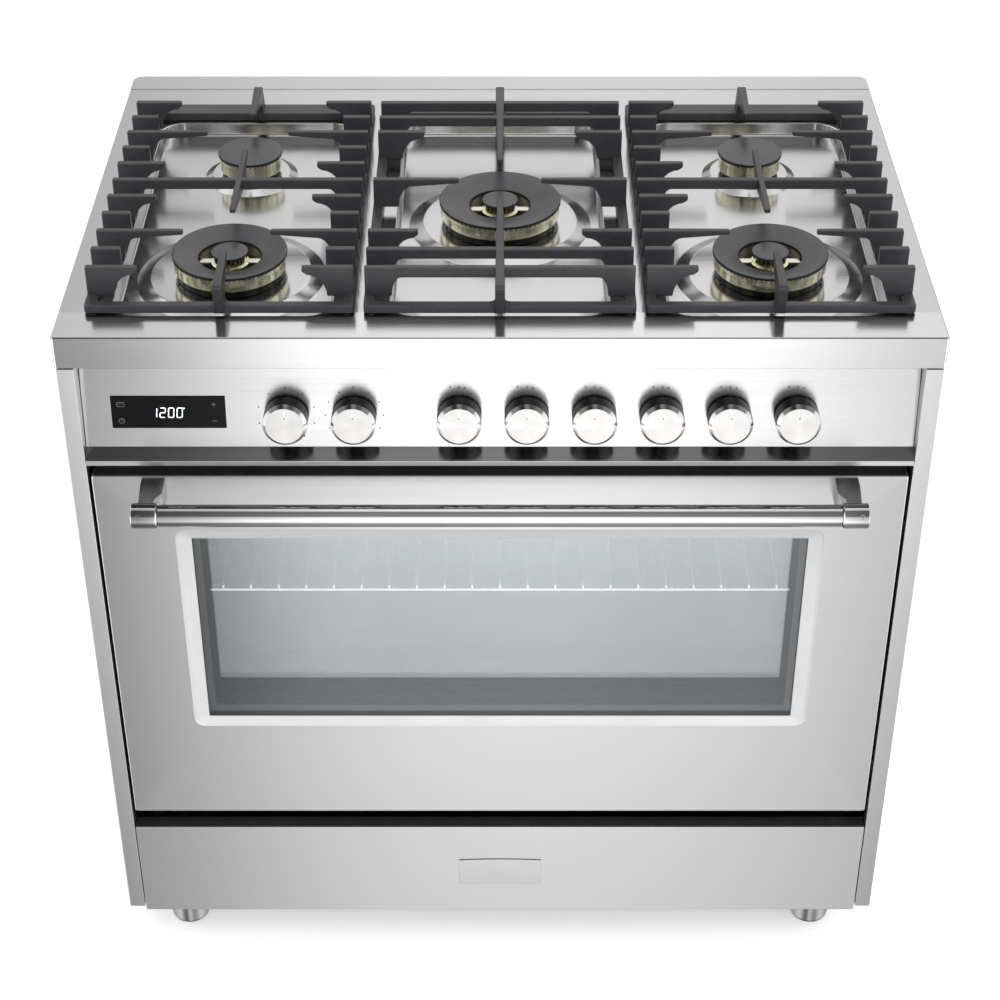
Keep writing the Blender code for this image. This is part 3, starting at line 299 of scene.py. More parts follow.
def mount(name, mesh, material, node, smooth=35.0, weighted=True, at=None, instead=True):
    """Show a mesh in place of a CAD node, or as an extra on it if instead is False."""
    item = placed(name, mesh)
    if at is not None:
        item.matrix_world = at
    if not mesh.materials:
        for key in [material] if isinstance(material, str) else material:
            mesh.materials.append(MATERIALS[key])
        mesh.shade_smooth()
        mesh.set_sharp_from_angle(angle=radians(smooth))
    if weighted:
        even_normals(item)
    body, slot, stands_for = BODY_OF[node], SLOT_OF[node], [node] if instead else []
    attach(item, body)
    if stands_for:
        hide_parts(*stands_for)
    return item


def paint(faces, index=1):
    for face in faces:
        face.material_index = index


def absorb(bm, other, index=0):
    """Add one bmesh to another, all in one material slot unless that is None."""
    if index is not None:
        paint(other.faces, index)
    mesh = as_mesh("part", other)
    bm.from_mesh(mesh)
    bpy.data.meshes.remove(mesh)


def soften(bm, width, segments=2, angle=25.0):
    """Round every edge that is sharper than an angle."""
    outward(bm)
    sharp = [e for e in bm.edges if e.is_manifold and e.calc_face_angle(0) > radians(angle)]
    bmesh.ops.bevel(bm, geom=sharp, offset=width, segments=segments, profile=0.5, affect="EDGES",
                    clamp_overlap=True)
    return bm


def cad_shape(node):
    """A CAD node's shape as a bmesh with its flat faces whole."""
    bm = bmesh.new()
    bm.from_mesh(NODES[node].data)
    bmesh.ops.remove_doubles(bm, verts=bm.verts, dist=1e-6)
    bmesh.ops.dissolve_limit(bm, angle_limit=radians(0.3), verts=bm.verts, edges=bm.edges)
    return bm


def refined(node, material, width, segments=2):
    """The CAD node again, with rounded edges."""
    return piece(node + "_skin", soften(cad_shape(node), width, segments), material, node)


def rounded(half_x, half_y, radius, steps=8):
    """Outline of a rectangle with round corners."""
    points = []
    for quarter, (sx, sy) in enumerate(((1, 1), (-1, 1), (-1, -1), (1, -1))):
        for step in range(steps + 1):
            angle = (quarter + step / steps) * pi / 2
            points.append((sx * (half_x - radius) + radius * cos(angle),
                           sy * (half_y - radius) + radius * sin(angle)))
    return points


def circle(radius, steps=96):
    return [(radius * cos(2 * pi * i / steps), radius * sin(2 * pi * i / steps)) for i in range(steps)]


class Sheet:
    """A pressed sheet: flats filled between rings of points, and walls joined from ring to ring."""

    def __init__(self, to_world=lambda x, y, z: Vector((x, y, z))):
        self.bm = bmesh.new()
        self.to_world = to_world

    def ring(self, points, centre=(0, 0), height=0.0):
        place = self.to_world
        return [self.bm.verts.new(place(x + centre[0], y + centre[1], height)) for x, y in points]

    def stack(self, outline, section, centre, base=0.0):
        """Walls through the outlines that a section of (grow, height) points asks for."""
        return self.wall([self.ring(outline(grow), centre, base + height) for grow, height in section])

    def wall(self, rings):
        for first, second in zip(rings, rings[1:]):
            count = len(first)
            for i in range(count):
                j = (i + 1) % count
                self.bm.faces.new((first[i], first[j], second[j], second[i]))
        return rings

    def loop(self, rings):
        """Walls round a closed section whose four corners are given in two pairs."""
        self.wall([rings[i] for i in (0, 1, 3, 2, 0)])

    def flat(self, *rings):
        edges = []
        for ring in rings:
            for first, second in zip(ring, ring[1:] + ring[:1]):
                edges.append(self.bm.edges.get((first, second)) or self.bm.edges.new((first, second)))
        bmesh.ops.triangle_fill(self.bm, use_beauty=True, use_dissolve=False, edges=edges)


def lathe(profile, steps=64, closed=False, teeth=None, solid=False):
    """Turn (radius, height, toothed) points about Z. teeth = (count, notch share, notch depth).

    The floors of the notches take the second material slot. A solid gets flat ends at the axis.
    """
    if solid:
        profile = [(0, profile[0][1]), *profile, (0, profile[-1][1])]
    bm = bmesh.new()
    if teeth:
        count, share, depth = teeth
        angles, cuts = [], []
        for tooth in range(count):
            start = 2 * pi * tooth / count
            width = 2 * pi / count
            for at, deep in ((0, 0), (0.03, depth), (share, depth), (share + 0.03, 0)):
                angles.append(start + at * width)
                cuts.append(deep)
    else:
        angles = [2 * pi * i / steps for i in range(steps)]
        cuts = [0] * steps
    rings = []
    toothed = [len(point) > 2 for point in profile]
    for point, cut in zip(profile, toothed):
        radius, height = point[:2]
        if radius <= 0.0:
            rings.append([bm.verts.new((0, 0, height))])
            continue
        reach = [radius - (deep if cut else 0.0) for deep in cuts]
        rings.append([bm.verts.new((r * cos(a), r * sin(a), height)) for r, a in zip(reach, angles)])
    pairs = list(zip(rings, rings[1:])) + ([(rings[-1], rings[0])] if closed else [])
    total = len(angles)
    for row, (low, high) in enumerate(pairs):
        cut_row = toothed[row] and toothed[(row + 1) % len(profile)]
        for i in range(total):
            j = (i + 1) % total
            corners = [low[i % len(low)], low[j % len(low)], high[j % len(high)], high[i % len(high)]]
            face = bm.faces.new(list(dict.fromkeys(corners)))
            if cut_row and (cuts[i] > 0.0 or cuts[j] > 0.0):
                face.material_index = 1
    return bm


def disc(radius, thick, steps):
    return lathe([(radius, 0), (radius, thick)], steps, solid=True)


def block(low, high):
    bm = bmesh.new()
    bmesh.ops.create_cube(bm, size=1.0)
    low, high = Vector(low), Vector(high)
    bmesh.ops.scale(bm, vec=high - low, verts=bm.verts)
    bmesh.ops.translate(bm, vec=(low + high) / 2, verts=bm.verts)
    return bm


def extruded(points, travel):
    """A closed solid: a flat outline of world points pushed along a vector."""
    bm = bmesh.new()
    near = [bm.verts.new(p) for p in points]
    far = [bm.verts.new(Vector(p) + Vector(travel)) for p in points]
    bm.faces.new(near)
    bm.faces.new(far[::-1])
    for i in range(len(near)):
        j = (i + 1) % len(near)
        bm.faces.new((near[i], near[j], far[j], far[i]))
    return bm


# ---- worktop ------------------------------------------------------------------------
WELL_X = span("burner_cap_front_right", "x")[0]
WELL_HALF = (0.112, 0.222)
WELL_CORNER = 0.026
WELL_MIDDLE = span("burner_cap_centre", "y")[0] - FRONT
WELL_WALL = [
    (0.0016, 0), (0.0008, -0.0002), (0.0002, -0.0008), (0, -0.0016), (-0.0007, -0.006),
    (-0.0014, -0.0105), (-0.0019, -0.0128), (-0.0027, -0.0143), (-0.0042, -0.015),
]
BOSS_RING = [
    (0, -0.015), (-0.0008, -0.0149), (-0.0018, -0.0146), (-0.012, -0.0113), (-0.014, -0.0106),
    (-0.0152, -0.0102), (-0.0162, -0.01),
]
EDGE = [
    (-0.002, 0), (-0.0011, -0.0003), (-0.0003, -0.0011), (0, -0.0022), (0, -0.0357),
    (-0.001, -0.0366),
]
SHEET_CORNER = 0.0035
SEAT_HOLE = 0.0138


def burner_places():
    places = {}
    for name in ("front_left", "rear_left", "centre", "front_right", "rear_right"):
        low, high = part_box("burner_cap_" + name)
        middle = (low + high) / 2
        places[name] = (middle.x, middle.y - FRONT, (high.x - low.x) / 2)
    return places


BURNERS = burner_places()
SMALL = 0.04


def worktop_piece():
    """Pressed sheet with three shallow wells and a raised seat under each burner."""
    half_x, half_y = span("worktop", "x")[1], span("worktop", "y")[1]
    sheet = Sheet(hob)
    outer = sheet.stack(lambda g: rounded(half_x + g, half_y + g, SHEET_CORNER + g), EDGE, (0, half_y))
    rims = []
    for x in (-WELL_X, 0, WELL_X):
        rings = sheet.stack(lambda g: rounded(WELL_HALF[0] + g, WELL_HALF[1] + g, WELL_CORNER + g, 12),
                            WELL_WALL, (x, WELL_MIDDLE))
        rims.append(rings[0])
        seats = []
        for bx, depth, radius in BURNERS.values():
            if abs(bx - x) > 0.01:
                continue
            outer_radius, squeeze = (0.053, 0.6) if radius < SMALL else (0.1, 1)
            boss = [sheet.ring(circle(outer_radius + g * squeeze), (bx, depth), h) for g, h in BOSS_RING]
            boss.append(sheet.ring(circle(SEAT_HOLE), (bx, depth), BOSS_RING[-1][1]))
            sheet.wall(boss)
            seats.append(boss[0])
        sheet.flat(rings[-1], *seats)
    sheet.flat(outer[0], *rims)
    thicken(piece("worktop_sheet", sheet.bm, "worktop", "worktop", 40.0, False), 0.0012)


# ---- pan supports -------------------------------------------------------------------
GRATE_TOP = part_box("grate_centre")[1].z - TOP
RAIL_TOP = 0.011
RAIL_LOW = 0.0025
RAIL_WIDE = 0.0105
ROOT = RAIL_TOP - 0.003
ROOT_REACH = 0.028
TIP_DEPTH = 0.005
EASE = 0.0006
PITCH = 0.0387
BAR = 0.008
FRONT_RAIL = (0.2112, 0.2216)
REAR_RAIL = (0.225, 0.251)
FRONT_REACH = 0.234
REAR_REACH = 0.2365
CLEAR = 0.045


def blade(points, origin, along, width_at):
    """A bar seen from the side as (reach, height) points; width_at gives its width at a reach."""
    bm = bmesh.new()
    across = Vector((-along[1], along[0], 0))
    along = Vector((along[0], along[1], 0))
    sides = []
    for sign in SIDES:
        row = []
        for reach, height in points:
            spot = Vector(origin) + along * reach + across * (sign * width_at(reach) / 2)
            row.append(bm.verts.new(hob(spot.x, spot.y, height)))
        sides.append(row)
    bm.faces.new(sides[0])
    bm.faces.new(sides[1][::-1])
    for i in range(len(points)):
        j = (i + 1) % len(points)
        bm.faces.new((sides[0][i], sides[0][j], sides[1][j], sides[1][i]))
    return soften(bm, 0.0011, 2, 40.0)


def cove(start, end, steps=6):
    """Points on a hollow curve that leaves its start upright and reaches its end level."""
    points = []
    for step in range(steps + 1):
        angle = pi / 2 * step / steps
        points.append((start[0] + (end[0] - start[0]) * (1 - cos(angle)),
                       start[1] + (end[1] - start[1]) * sin(angle)))
    return points


def finger_side(length):
    """Side view of a finger from its rail: deep root, hollow underside, thin tip."""
    top = GRATE_TOP
    if length < 0.035:
        under = [(ROOT_REACH, ROOT), (length, RAIL_TOP + 0.005)]
    else:
        run = 0.02 if length < 0.06 else 0.014
        under = cove((ROOT_REACH, ROOT), (ROOT_REACH + run, top - 0.0085))
        under.append((length, top - TIP_DEPTH))
    return [(EASE, ROOT)] + under + [(length, top), (EASE, top)]


def fingers(bm, x, row, length, taper):
    """A finger from each side rail, at a number of pitches behind the well's middle."""
    def width_at(reach):
        return BAR * (1.0 - (1.0 - taper) * max(0, reach - 0.03) / max(length - 0.03, 0.01))

    for rail_x, towards in ((x[0], 1), (x[1], -1)):
        origin = (rail_x, WELL_MIDDLE + row * PITCH, 0)
        absorb(bm, blade(finger_side(length), origin, (towards, 0), width_at))


def full_bar(bm, x, depth):
    top = GRATE_TOP - 0.0004
    span = x[1] - x[0]
    side = [(EASE, ROOT)] + cove((ROOT_REACH, ROOT), (ROOT_REACH + 0.01, top - 0.011))
    side += [(span - reach, height) for reach, height in reversed(side)]
    side += [(span - EASE, top), (EASE, top)]
    absorb(bm, blade(side, (x[0], depth, 0), (1, 0), lambda reach: BAR))


def end_spine(bm, x, end, tip):
    """The fore-and-aft finger at one end: a nose that slopes down to the rail, and a thin tip."""
    top = GRATE_TOP
    low = RAIL_LOW + 0.0008
    if end < 0:
        reach, inner, foot = FRONT_REACH, FRONT_RAIL[0] - 0.003, FRONT_RAIL[1] + 0.003
    else:
        reach, inner, foot = REAR_REACH, REAR_RAIL[0] - 0.003, REAR_RAIL[1] - 0.0035
    side = [(tip, top - TIP_DEPTH), (tip, top), (reach - 0.0035, top), (reach - 0.001, top - 0.0011),
            (reach + 0.0003, top - 0.004), (foot + 0.0013, RAIL_TOP + 0.001), (foot, low), (inner, low)]
    side += cove((inner, RAIL_TOP + 0.002), (inner - 0.02, top - 0.0118))
    wide, thin = 0.01, 0.0064

    def width_at(spot):
        share = min(1, max(0, (spot - tip) / (reach - 0.03 - tip)))
        return thin + (wide - thin) * sqrt(share)

    absorb(bm, blade(side, (x, WELL_MIDDLE, 0), (0, float(end)), width_at))


def middle_spine(bm, x, reach):
    top = GRATE_TOP
    half = [(reach, top - TIP_DEPTH), (0.04, top - 0.0085), (0.022, top - 0.0108), (0.01, top - 0.013)]
    side = [(-reach, top), (reach, top)] + half + [(-spot, height) for spot, height in reversed(half)]
    absorb(bm, blade(side, (x, WELL_MIDDLE, 0), (0, 1), lambda r: 0.0092 - 0.0028 * abs(r) / reach))


def web(bm, x, depth, sx, sy, radius=0.006):
    """A hollow corner where two bars meet, at rail height."""
    points = [(0, 0)]
    for step in range(6):
        angle = pi / 2 * step / 5
        points.append((radius * (1 - sin(angle)), radius * (1 - cos(angle))))
    outline = [hob(x + sx * u, depth + sy * v, RAIL_LOW + 0.0006) for u, v in points]
    absorb(bm, extruded(outline, (0, 0, RAIL_TOP - RAIL_LOW - 0.0012)))


def grate_rails(x):
    """The low rectangular frame, wider along the rear, and its four feet."""
    half_x = (x[1] - x[0]) / 2
    middle_x = (x[0] + x[1]) / 2
    sheet = Sheet(hob)
    ease = 0.0014
    depths = (WELL_MIDDLE - FRONT_RAIL[1], WELL_MIDDLE + REAR_RAIL[1])
    hole = (WELL_MIDDLE - FRONT_RAIL[0], WELL_MIDDLE + REAR_RAIL[0])
    rings = []
    for (near, far), half, radius, section in (
        (depths, half_x, 0.004, ((0, RAIL_LOW), (0, RAIL_TOP - ease), (-0.4 * ease, RAIL_TOP - 0.4 * ease),
                                  (-ease, RAIL_TOP))),
        (hole, half_x - RAIL_WIDE, 0.008, ((ease, RAIL_TOP), (0.4 * ease, RAIL_TOP - 0.4 * ease),
                                            (0, RAIL_TOP - ease), (0, RAIL_LOW))),
    ):
        centre = (middle_x, (near + far) / 2)
        for grow, height in section:
            outline = rounded(half + grow, (far - near) / 2 + grow, radius + grow)
            rings.append(sheet.ring(outline, centre, height))
    sheet.wall(rings + rings[:1])
    bm = sheet.bm
    for fx in (x[0] + 0.007, x[1] - 0.007):
        for fy in (depths[0] + 0.007, depths[1] - 0.007):
            pad = lathe([(0.0042, 0.0003), (0.0048, 0.001), (0.0048, 0.004)], 24, solid=True)
            pad.transform(Matrix.Translation(hob(fx, fy, 0)))
            absorb(bm, pad)
    return bm


def spine_webs(bm, x):
    for side in SIDES:
        edge = x + side * 0.0045
        web(bm, edge, WELL_MIDDLE - FRONT_RAIL[0], side, 1)
        web(bm, edge, WELL_MIDDLE - FRONT_RAIL[1], side, -1, 0.004)
        web(bm, edge, WELL_MIDDLE + REAR_RAIL[0], side, -1)


def grate(name, shape):
    """One casting: its rails, and then the bars that a function adds to them."""
    low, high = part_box(name)
    x = (low.x, high.x)
    bm = grate_rails(x)
    shape(bm, x)
    piece(name + "_casting", bm, "iron", name, 50.0)


def side_bars(bm, x):
    for row, length in ((1, 0.053), (2, 0.031), (3, 0.091), (4, 0.031), (5, 0.053)):
        for sign in SIDES:
            fingers(bm, x, sign * row, length, 0.72 if length > 0.06 else 0.9)
    full_bar(bm, x, WELL_MIDDLE)
    burner_x = BURNERS["front_left" if x[0] < 0 else "front_right"][0]
    offset = WELL_MIDDLE - BURNERS["front_left"][1]
    for end in SIDES:
        end_spine(bm, burner_x, end, offset + CLEAR)
    middle_spine(bm, burner_x, offset - CLEAR)
    spine_webs(bm, burner_x)


def centre_bars(bm, x):
    for row in (-5, -4, 4, 5):
        full_bar(bm, x, WELL_MIDDLE + row * PITCH)
    for row, length, taper in ((-3, 0.053, 0.9), (0, x[1] - CLEAR, 0.7), (3, 0.053, 0.9)):
        fingers(bm, x, row, length, taper)
    for end in SIDES:
        end_spine(bm, 0, end, CLEAR)
    spine_webs(bm, 0)


# ---- burners ------------------------------------------------------------------------
BURNER_SEAT = -0.0097
CAP_RIM = 0.003
RING_HOLE = 0.0328
RING_DISH = 0.0062


def burner_at(name):
    x, depth, _ = BURNERS[name]
    return Matrix.Translation(hob(x, depth, 0))


def burner_head(name):
    """Brass flame ring with ports under the cap's edge, on a dark foot with small screws."""
    radius = BURNERS[name][2]
    large = radius > SMALL
    node = "burner_head_" + name
    stem_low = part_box(node)[0].z - TOP
    cap_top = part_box("burner_cap_" + name)[1].z - TOP
    top = cap_top - CAP_RIM - 0.0003
    seat = BURNER_SEAT
    outer = radius - 0.0005
    waist = seat + (0.0088 if large else 0.0062)
    foot = outer - 0.003
    split = top - 0.0026
    band = outer - 0.0009
    profile = [(band - 0.0014, waist), (band - 0.0004, waist + 0.0003), (band, waist + 0.001),
               (band, split - 0.0004), (band - 0.0004, split), (band - 0.0012, split),
               (outer - 0.0008, split + 0.0001, True), (outer - 0.0008, top, True)]
    teeth = (72 if large else 46, 0.17, 0.0012)
    if large:
        hole = RING_HOLE + 0.002
        profile += [(hole, top - RING_DISH), (hole, waist + 0.0004), (hole, waist)]
        ring = lathe(profile, closed=True, teeth=teeth)
        inner = span("inner_cap_" + name, "x")[1] - 0.0019
        inner_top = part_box("inner_cap_" + name)[0].z - TOP - 0.0003
        small = lathe([(0, waist), (inner + 0.0022, waist), (inner + 0.0022, waist + 0.0046),
                       (inner + 0.0016, waist + 0.0052), (inner - 0.0006, waist + 0.0054),
                       (inner - 0.0006, inner_top - 0.0052), (inner, inner_top - 0.005, True),
                       (inner, inner_top, True), (0, inner_top)], teeth=(24, 0.3, 0.0014))
        absorb(ring, small, None)
        for quarter in range(4):
            half = 0.0022 if quarter % 2 else 0.0045
            spoke = soften(block((inner - 0.002, -half, waist), (hole + 0.002, half, 0.0045)), 0.0008)
            spoke.transform(Matrix.Rotation(quarter * pi / 2, 4, "Z"))
            absorb(ring, spoke, 2)
    else:
        ring = lathe(profile, teeth=teeth, solid=True)
    base = lathe([(foot - 0.001, seat), (foot, seat + 0.001), (foot, waist - 0.0006),
                  (foot + 0.0008, waist - 0.0002), (foot + 0.0008, waist + 0.0002)], 96, solid=True)
    absorb(ring, base, 1)
    screws = 8 if large else 6
    lying = Matrix.Translation((foot - 0.0003, 0, seat + 0.003)) @ Matrix.Rotation(pi / 2, 4, "Y")
    for screw in range(screws):
        head = lathe([(0, 0), (0.0019, 0), (0.0018, 0.0006), (0.0013, 0.0011), (0, 0.0013)], 16)
        head.transform(Matrix.Rotation(2 * pi * (screw + 0.5) / screws, 4, "Z") @ lying)
        absorb(ring, head, 1)
    stem = lathe([(0.0115, stem_low), (0.0125, stem_low + 0.001), (0.0125, seat)], 32, solid=True)
    absorb(ring, stem, 1)
    materials = ["brass", "brass_base", "spoke"]
    piece(node + "_detail", ring, materials, node, 40.0, True, burner_at(name))


def show_cap(node, bm, burner):
    """A cap on its burner. Its upright faces take a darker copy of the enamel as painted shade."""
    outward(bm)
    paint(face for face in bm.faces if abs(face.normal.z) < 0.75)
    piece(node + "_detail", bm, ["cap", "cap_side_shade"], node, 50.0, True, burner_at(burner))


def burner_cap(name):
    """The black cap: nearly flat on the small burners, dished down to its hole on the larger ones."""
    radius = BURNERS[name][2]
    node = "burner_cap_" + name
    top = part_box(node)[1].z - TOP
    under = top - CAP_RIM
    rim = [(radius - 0.0008, under), (radius - 0.0002, under + 0.0002), (radius, under + 0.0005),
           (radius, top - 0.0006), (radius - 0.0004, top - 0.00015), (radius - 0.0024, top)]
    if radius > SMALL:
        hole = RING_HOLE
        reach = radius - 0.0024 - hole
        dish = top - RING_DISH
        rim += [(radius - 0.0024 - reach * t, top - RING_DISH * t ** 1.15) for t in (0.2, 0.4, 0.6, 0.8, 0.95)]
        rim += [(hole + 0.0005, dish - 0.0002), (hole, dish - 0.001), (hole, dish - CAP_RIM)]
        bm = lathe(rim, 128, closed=True)
    else:
        bm = lathe([(0, under)] + rim + [(0, top + 0.0004)], 96)
    show_cap(node, bm, name)


def inner_cap(name):
    node = "inner_cap_" + name
    radius = span(node, "x")[1]
    under, top = (corner.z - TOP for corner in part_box(node))
    bm = lathe([(0, under), (radius - 0.0006, under), (radius, under + 0.0006), (radius, top - 0.0012),
                (radius - 0.0007, top - 0.0004), (radius - 0.0022, top), (0, top + 0.0003)], 64)
    show_cap(node, bm, name)


# ---- control panel ------------------------------------------------------------------
PANEL_OUT = Vector(JOINTS["oven_temperature_turn"]["axis"])
PANEL_UP = Vector((0, PANEL_OUT.z, -PANEL_OUT.y))
KNOB_POINTS = {
    joint["child"]: Vector(joint["pos_m"]) for name, joint in JOINTS.items() if name.endswith("_turn")
}
PANEL_POINT = Vector(JOINTS["oven_temperature_turn"]["pos_m"])
LEDGE_TALL = 0.0158
KNOB_RADIUS = 0.023
KNOB_REACH = 0.0224
KNOB_CHAMFER = 0.0034
KNOB_GAP = 0.0036
PRINT_THICK = 0.00012


def panel_frame(x, up=0.0, out=0.0):
    """Matrix of a spot on the panel: local X right, Y up the panel, Z out."""
    spot = Vector((x, PANEL_POINT.y, PANEL_POINT.z)) + PANEL_UP * up + PANEL_OUT * out
    basis = Matrix((Vector((1, 0, 0)), PANEL_UP, PANEL_OUT)).transposed()
    return Matrix.Translation(spot) @ basis.to_4x4()


def split_fascia():
    """The brushed panel and, below it, the polished ledge with its bright lip. The ledge takes a darker copy of
    the steel colour as painted shade.
    """
    node = "control_fascia"
    plane = (0, 0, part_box(node)[0].z + LEDGE_TALL)
    parts = (("control_panel_sheet", ["panel"], True), ("panel_ledge", ["ledge", "lip"], False))
    for name, materials, keep_top in parts:
        bm = soften(cad_shape(node), 0.0004, 2)
        geometry = bm.verts[:] + bm.edges[:] + bm.faces[:]
        cut = bmesh.ops.bisect_plane(bm, geom=geometry, plane_co=plane, plane_no=(0, 0, 1),
                                     clear_inner=keep_top, clear_outer=not keep_top)
        edges = [e for e in cut["geom_cut"] if isinstance(e, bmesh.types.BMEdge)]
        bmesh.ops.holes_fill(bm, edges=edges)
        outward(bm)
        for face in bm.faces:
            # Front faces take the lip; the rest take the ledge's darker colour, painted shade.
            face.material_index = 1 if not keep_top and face.normal.y < -0.8 else 0
        piece(name, bm, materials, node)


def knob_mesh():
    """One knob in its own frame: dark side, bright chamfer, and a faced front with a pointer slot."""
    reach, radius = KNOB_REACH, KNOB_RADIUS
    face_edge = radius - KNOB_CHAMFER
    turned = lathe([(0, 0), (radius - 0.001, 0), (radius, 0.0008), (radius, reach - KNOB_CHAMFER),
                    (radius - 0.0003, reach - 0.003), (face_edge + 0.0003, reach - 0.0003), (face_edge, reach),
                    (0, reach)], 128)
    outward(turned)
    for face in turned.faces:
        middle = face.calc_center_median()
        if face.normal.z > 0.95 and middle.z > reach / 2:
            face.material_index = 1
        elif middle.z > reach - KNOB_CHAMFER:
            face.material_index = 2
    slot = block((-0.0008, 0.0081, reach - 0.0012), (0.0008, 0.0168, reach + 0.002))
    paint(slot.faces, 2)
    knob = placed("knob_blank", as_mesh("knob", turned))
    tool = placed("pointer_tool", as_mesh("pointer_slot", slot))
    for item in (knob, tool):
        for key in ("knob_side", "knob_face", "chrome"):
            item.data.materials.append(MATERIALS[key])
    change = knob.modifiers.new("slot", "BOOLEAN")
    change.object = tool
    change.operation = "DIFFERENCE"
    bpy.context.view_layer.update()
    graph = bpy.context.evaluated_depsgraph_get()
    shaped = bpy.data.meshes.new_from_object(knob.evaluated_get(graph))
    bpy.data.objects.remove(knob)
    bpy.data.objects.remove(tool)
    shaped.shade_smooth()
    shaped.set_sharp_from_angle(angle=radians(28))
    return shaped


def knobs():
    mesh = knob_mesh()
    for node, point in KNOB_POINTS.items():
        mount(node + "_detail", mesh, "chrome", node, at=panel_frame(point.x, 0, KNOB_GAP))


def marks():
    """Plain printed ticks: a line over each knob, dots round the oven's two dials."""
    bm = bmesh.new()

    def dot(x, up, radius):
        spot = disc(radius, PRINT_THICK, 16)
        spot.transform(panel_frame(x, up))
        absorb(bm, spot)

    for node, point in KNOB_POINTS.items():
        tick = block((-0.0004, 0.03, 0), (0.0004, 0.0335, PRINT_THICK))
        tick.transform(panel_frame(point.x))
        absorb(bm, tick)
        if node.startswith("gas"):
            dot(point.x + 0.0062, 0.031, 0.0009)
            dot(point.x - 0.0095, 0.0322, 0.0009)
            continue
        steps = 9 if "function" in node else 11
        for step in range(1, steps + 1):
            angle = pi / 2 - 2 * pi * step / (steps + 1)
            dot(point.x + 0.03 * cos(angle), 0.03 * sin(angle), 0.0008)
    piece("panel_marks", bm, "dark_mark", "control_fascia", 40.0, False, instead=False)


SEGMENTS = {
    "a": ((0, 1), (1, 1)), "b": ((1, 1), (1, 0.5)), "c": ((1, 0.5), (1, 0)),
    "d": ((0, 0), (1, 0)), "e": ((0, 0.5), (0, 0)), "f": ((0, 1), (0, 0.5)),
    "g": ((0, 0.5), (1, 0.5)),
}
DIGITS = {"1": "bc", "2": "abged", "0": "abcdef"}
LIT_THICK = 0.0001
DIGIT_WIDE = 0.0054
DIGIT_TALL = 0.0108
DIGIT_PITCH = 0.0088


def stroke(bm, start, end, width, lean):
    """One bar of a digit with pointed ends."""
    start, end = Vector(start), Vector(end)
    run = (end - start).normalized()
    side = Vector((-run.y, run.x)) * width / 2
    tip = run * width / 2
    gap = run * width * 0.28
    outline = [start + gap, start + gap + tip + side, end - gap - tip + side, end - gap, end - gap - tip - side,
               start + gap + tip - side]
    points = [(p.x + lean * p.y, p.y, 0) for p in outline]
    absorb(bm, extruded(points, (0, 0, LIT_THICK)))


def lit_box(bm, x0, y0, x1, y1):
    absorb(bm, block((x0, y0, 0), (x1, y1, LIT_THICK)))


def display():
    """The dark glass, four digits with their dots, and four faint touch marks."""
    refined("display", "display", 0.0003)
    middle_x, half = span("display", "x")
    middle_up = (span("display", "z")[0] - PANEL_POINT.z) / PANEL_UP.z
    place = panel_frame(middle_x, middle_up, 0.00045)
    lit = bmesh.new()
    wide, tall, pitch = DIGIT_WIDE, DIGIT_TALL, DIGIT_PITCH
    start = -1.5 * pitch - wide / 2 - 0.0015
    for index, digit in enumerate("1200"):
        for key in DIGITS[digit]:
            (x0, y0), (x1, y1) = SEGMENTS[key]
            base = start + index * pitch
            ends = (base + x0 * wide, (y0 - 0.5) * tall), (base + x1 * wide, (y1 - 0.5) * tall)
            stroke(lit, *ends, 0.0008, 0.08)
    for y in (-0.0022, 0.0022):
        lit_box(lit, -0.0005, y - 0.0005, 0.0005, y + 0.0005)
    after = start + 4 * pitch
    lit_box(lit, after - 0.003, tall / 2 - 0.0008, after - 0.0006, tall / 2 + 0.0002)
    lit.transform(place)
    piece("display_digits", lit, "digits", "display", 40.0, False, instead=False)
    faint = bmesh.new()
    up = 0.0095
    sheet = Sheet()
    left, right = -half + 0.01, half - 0.0115
    for centre, points in (
        ((left, -up), (circle(0.0032, 24), circle(0.0027, 24))),
        ((left, up), (rounded(0.004, 0.0027, 0.0008, 3), rounded(0.0036, 0.0023, 0.0005, 3))),
    ):
        sheet.loop([sheet.ring(p, centre, h) for p in points for h in (0, LIT_THICK)])
    absorb(faint, sheet.bm)
    for corners in (
        (left - 0.0002, -up, left + 0.0002, -up + 0.0022),
        (left, -up - 0.0002, left + 0.0015, -up + 0.0002),
        (left - 0.0028, up + 0.0004, left + 0.0028, up + 0.0008),
        (right - 0.0022, up - 0.0003, right + 0.0022, up + 0.0003),
        (right - 0.0003, up - 0.0022, right + 0.0003, up + 0.0022),
        (right - 0.0022, -up - 0.0003, right + 0.0022, -up + 0.0003),
    ):
        lit_box(faint, *corners)
    faint.transform(place)
    piece("display_icons", faint, "icons", "display", 40.0, False, instead=False)


# ---- door ---------------------------------------------------------------------------
PRESS_WIDE = 0.017
PRESS_TALL = 0.78
HINGE_SLOT = (0.394, 0.406, 0.0235)
SOCKET_REACH = 0.0272
POST_X = 0.3625


def facing(x, z, depth):
    """World point from X, height Z and a depth behind the worktop's front plane."""
    return Vector((x, FRONT + depth, z))


def open_at_hinges(bm, floor):
    """Slots in the door's lower wall that let it swing past the oven's hinge brackets."""
    inner, outer, depth = HINGE_SLOT

    def wall():
        return [face for face in bm.faces if face.calc_center_median().z < floor + 0.003]

    for side in SIDES:
        for plane, normal in (((side * inner, 0, 0), (1, 0, 0)), ((side * outer, 0, 0), (1, 0, 0)),
                              ((0, FRONT + depth, 0), (0, 1, 0))):
            faces = wall()
            edges = {edge for face in faces for edge in face.edges}
            verts = {vert for face in faces for vert in face.verts}
            bmesh.ops.bisect_plane(bm, geom=faces + list(edges) + list(verts), plane_co=plane, plane_no=normal)
    gone = []
    for face in wall():
        centre = face.calc_center_median()
        if inner < abs(centre.x) < outer and centre.y > FRONT + depth:
            gone.append(face)
    bmesh.ops.delete(bm, geom=gone, context="FACES")


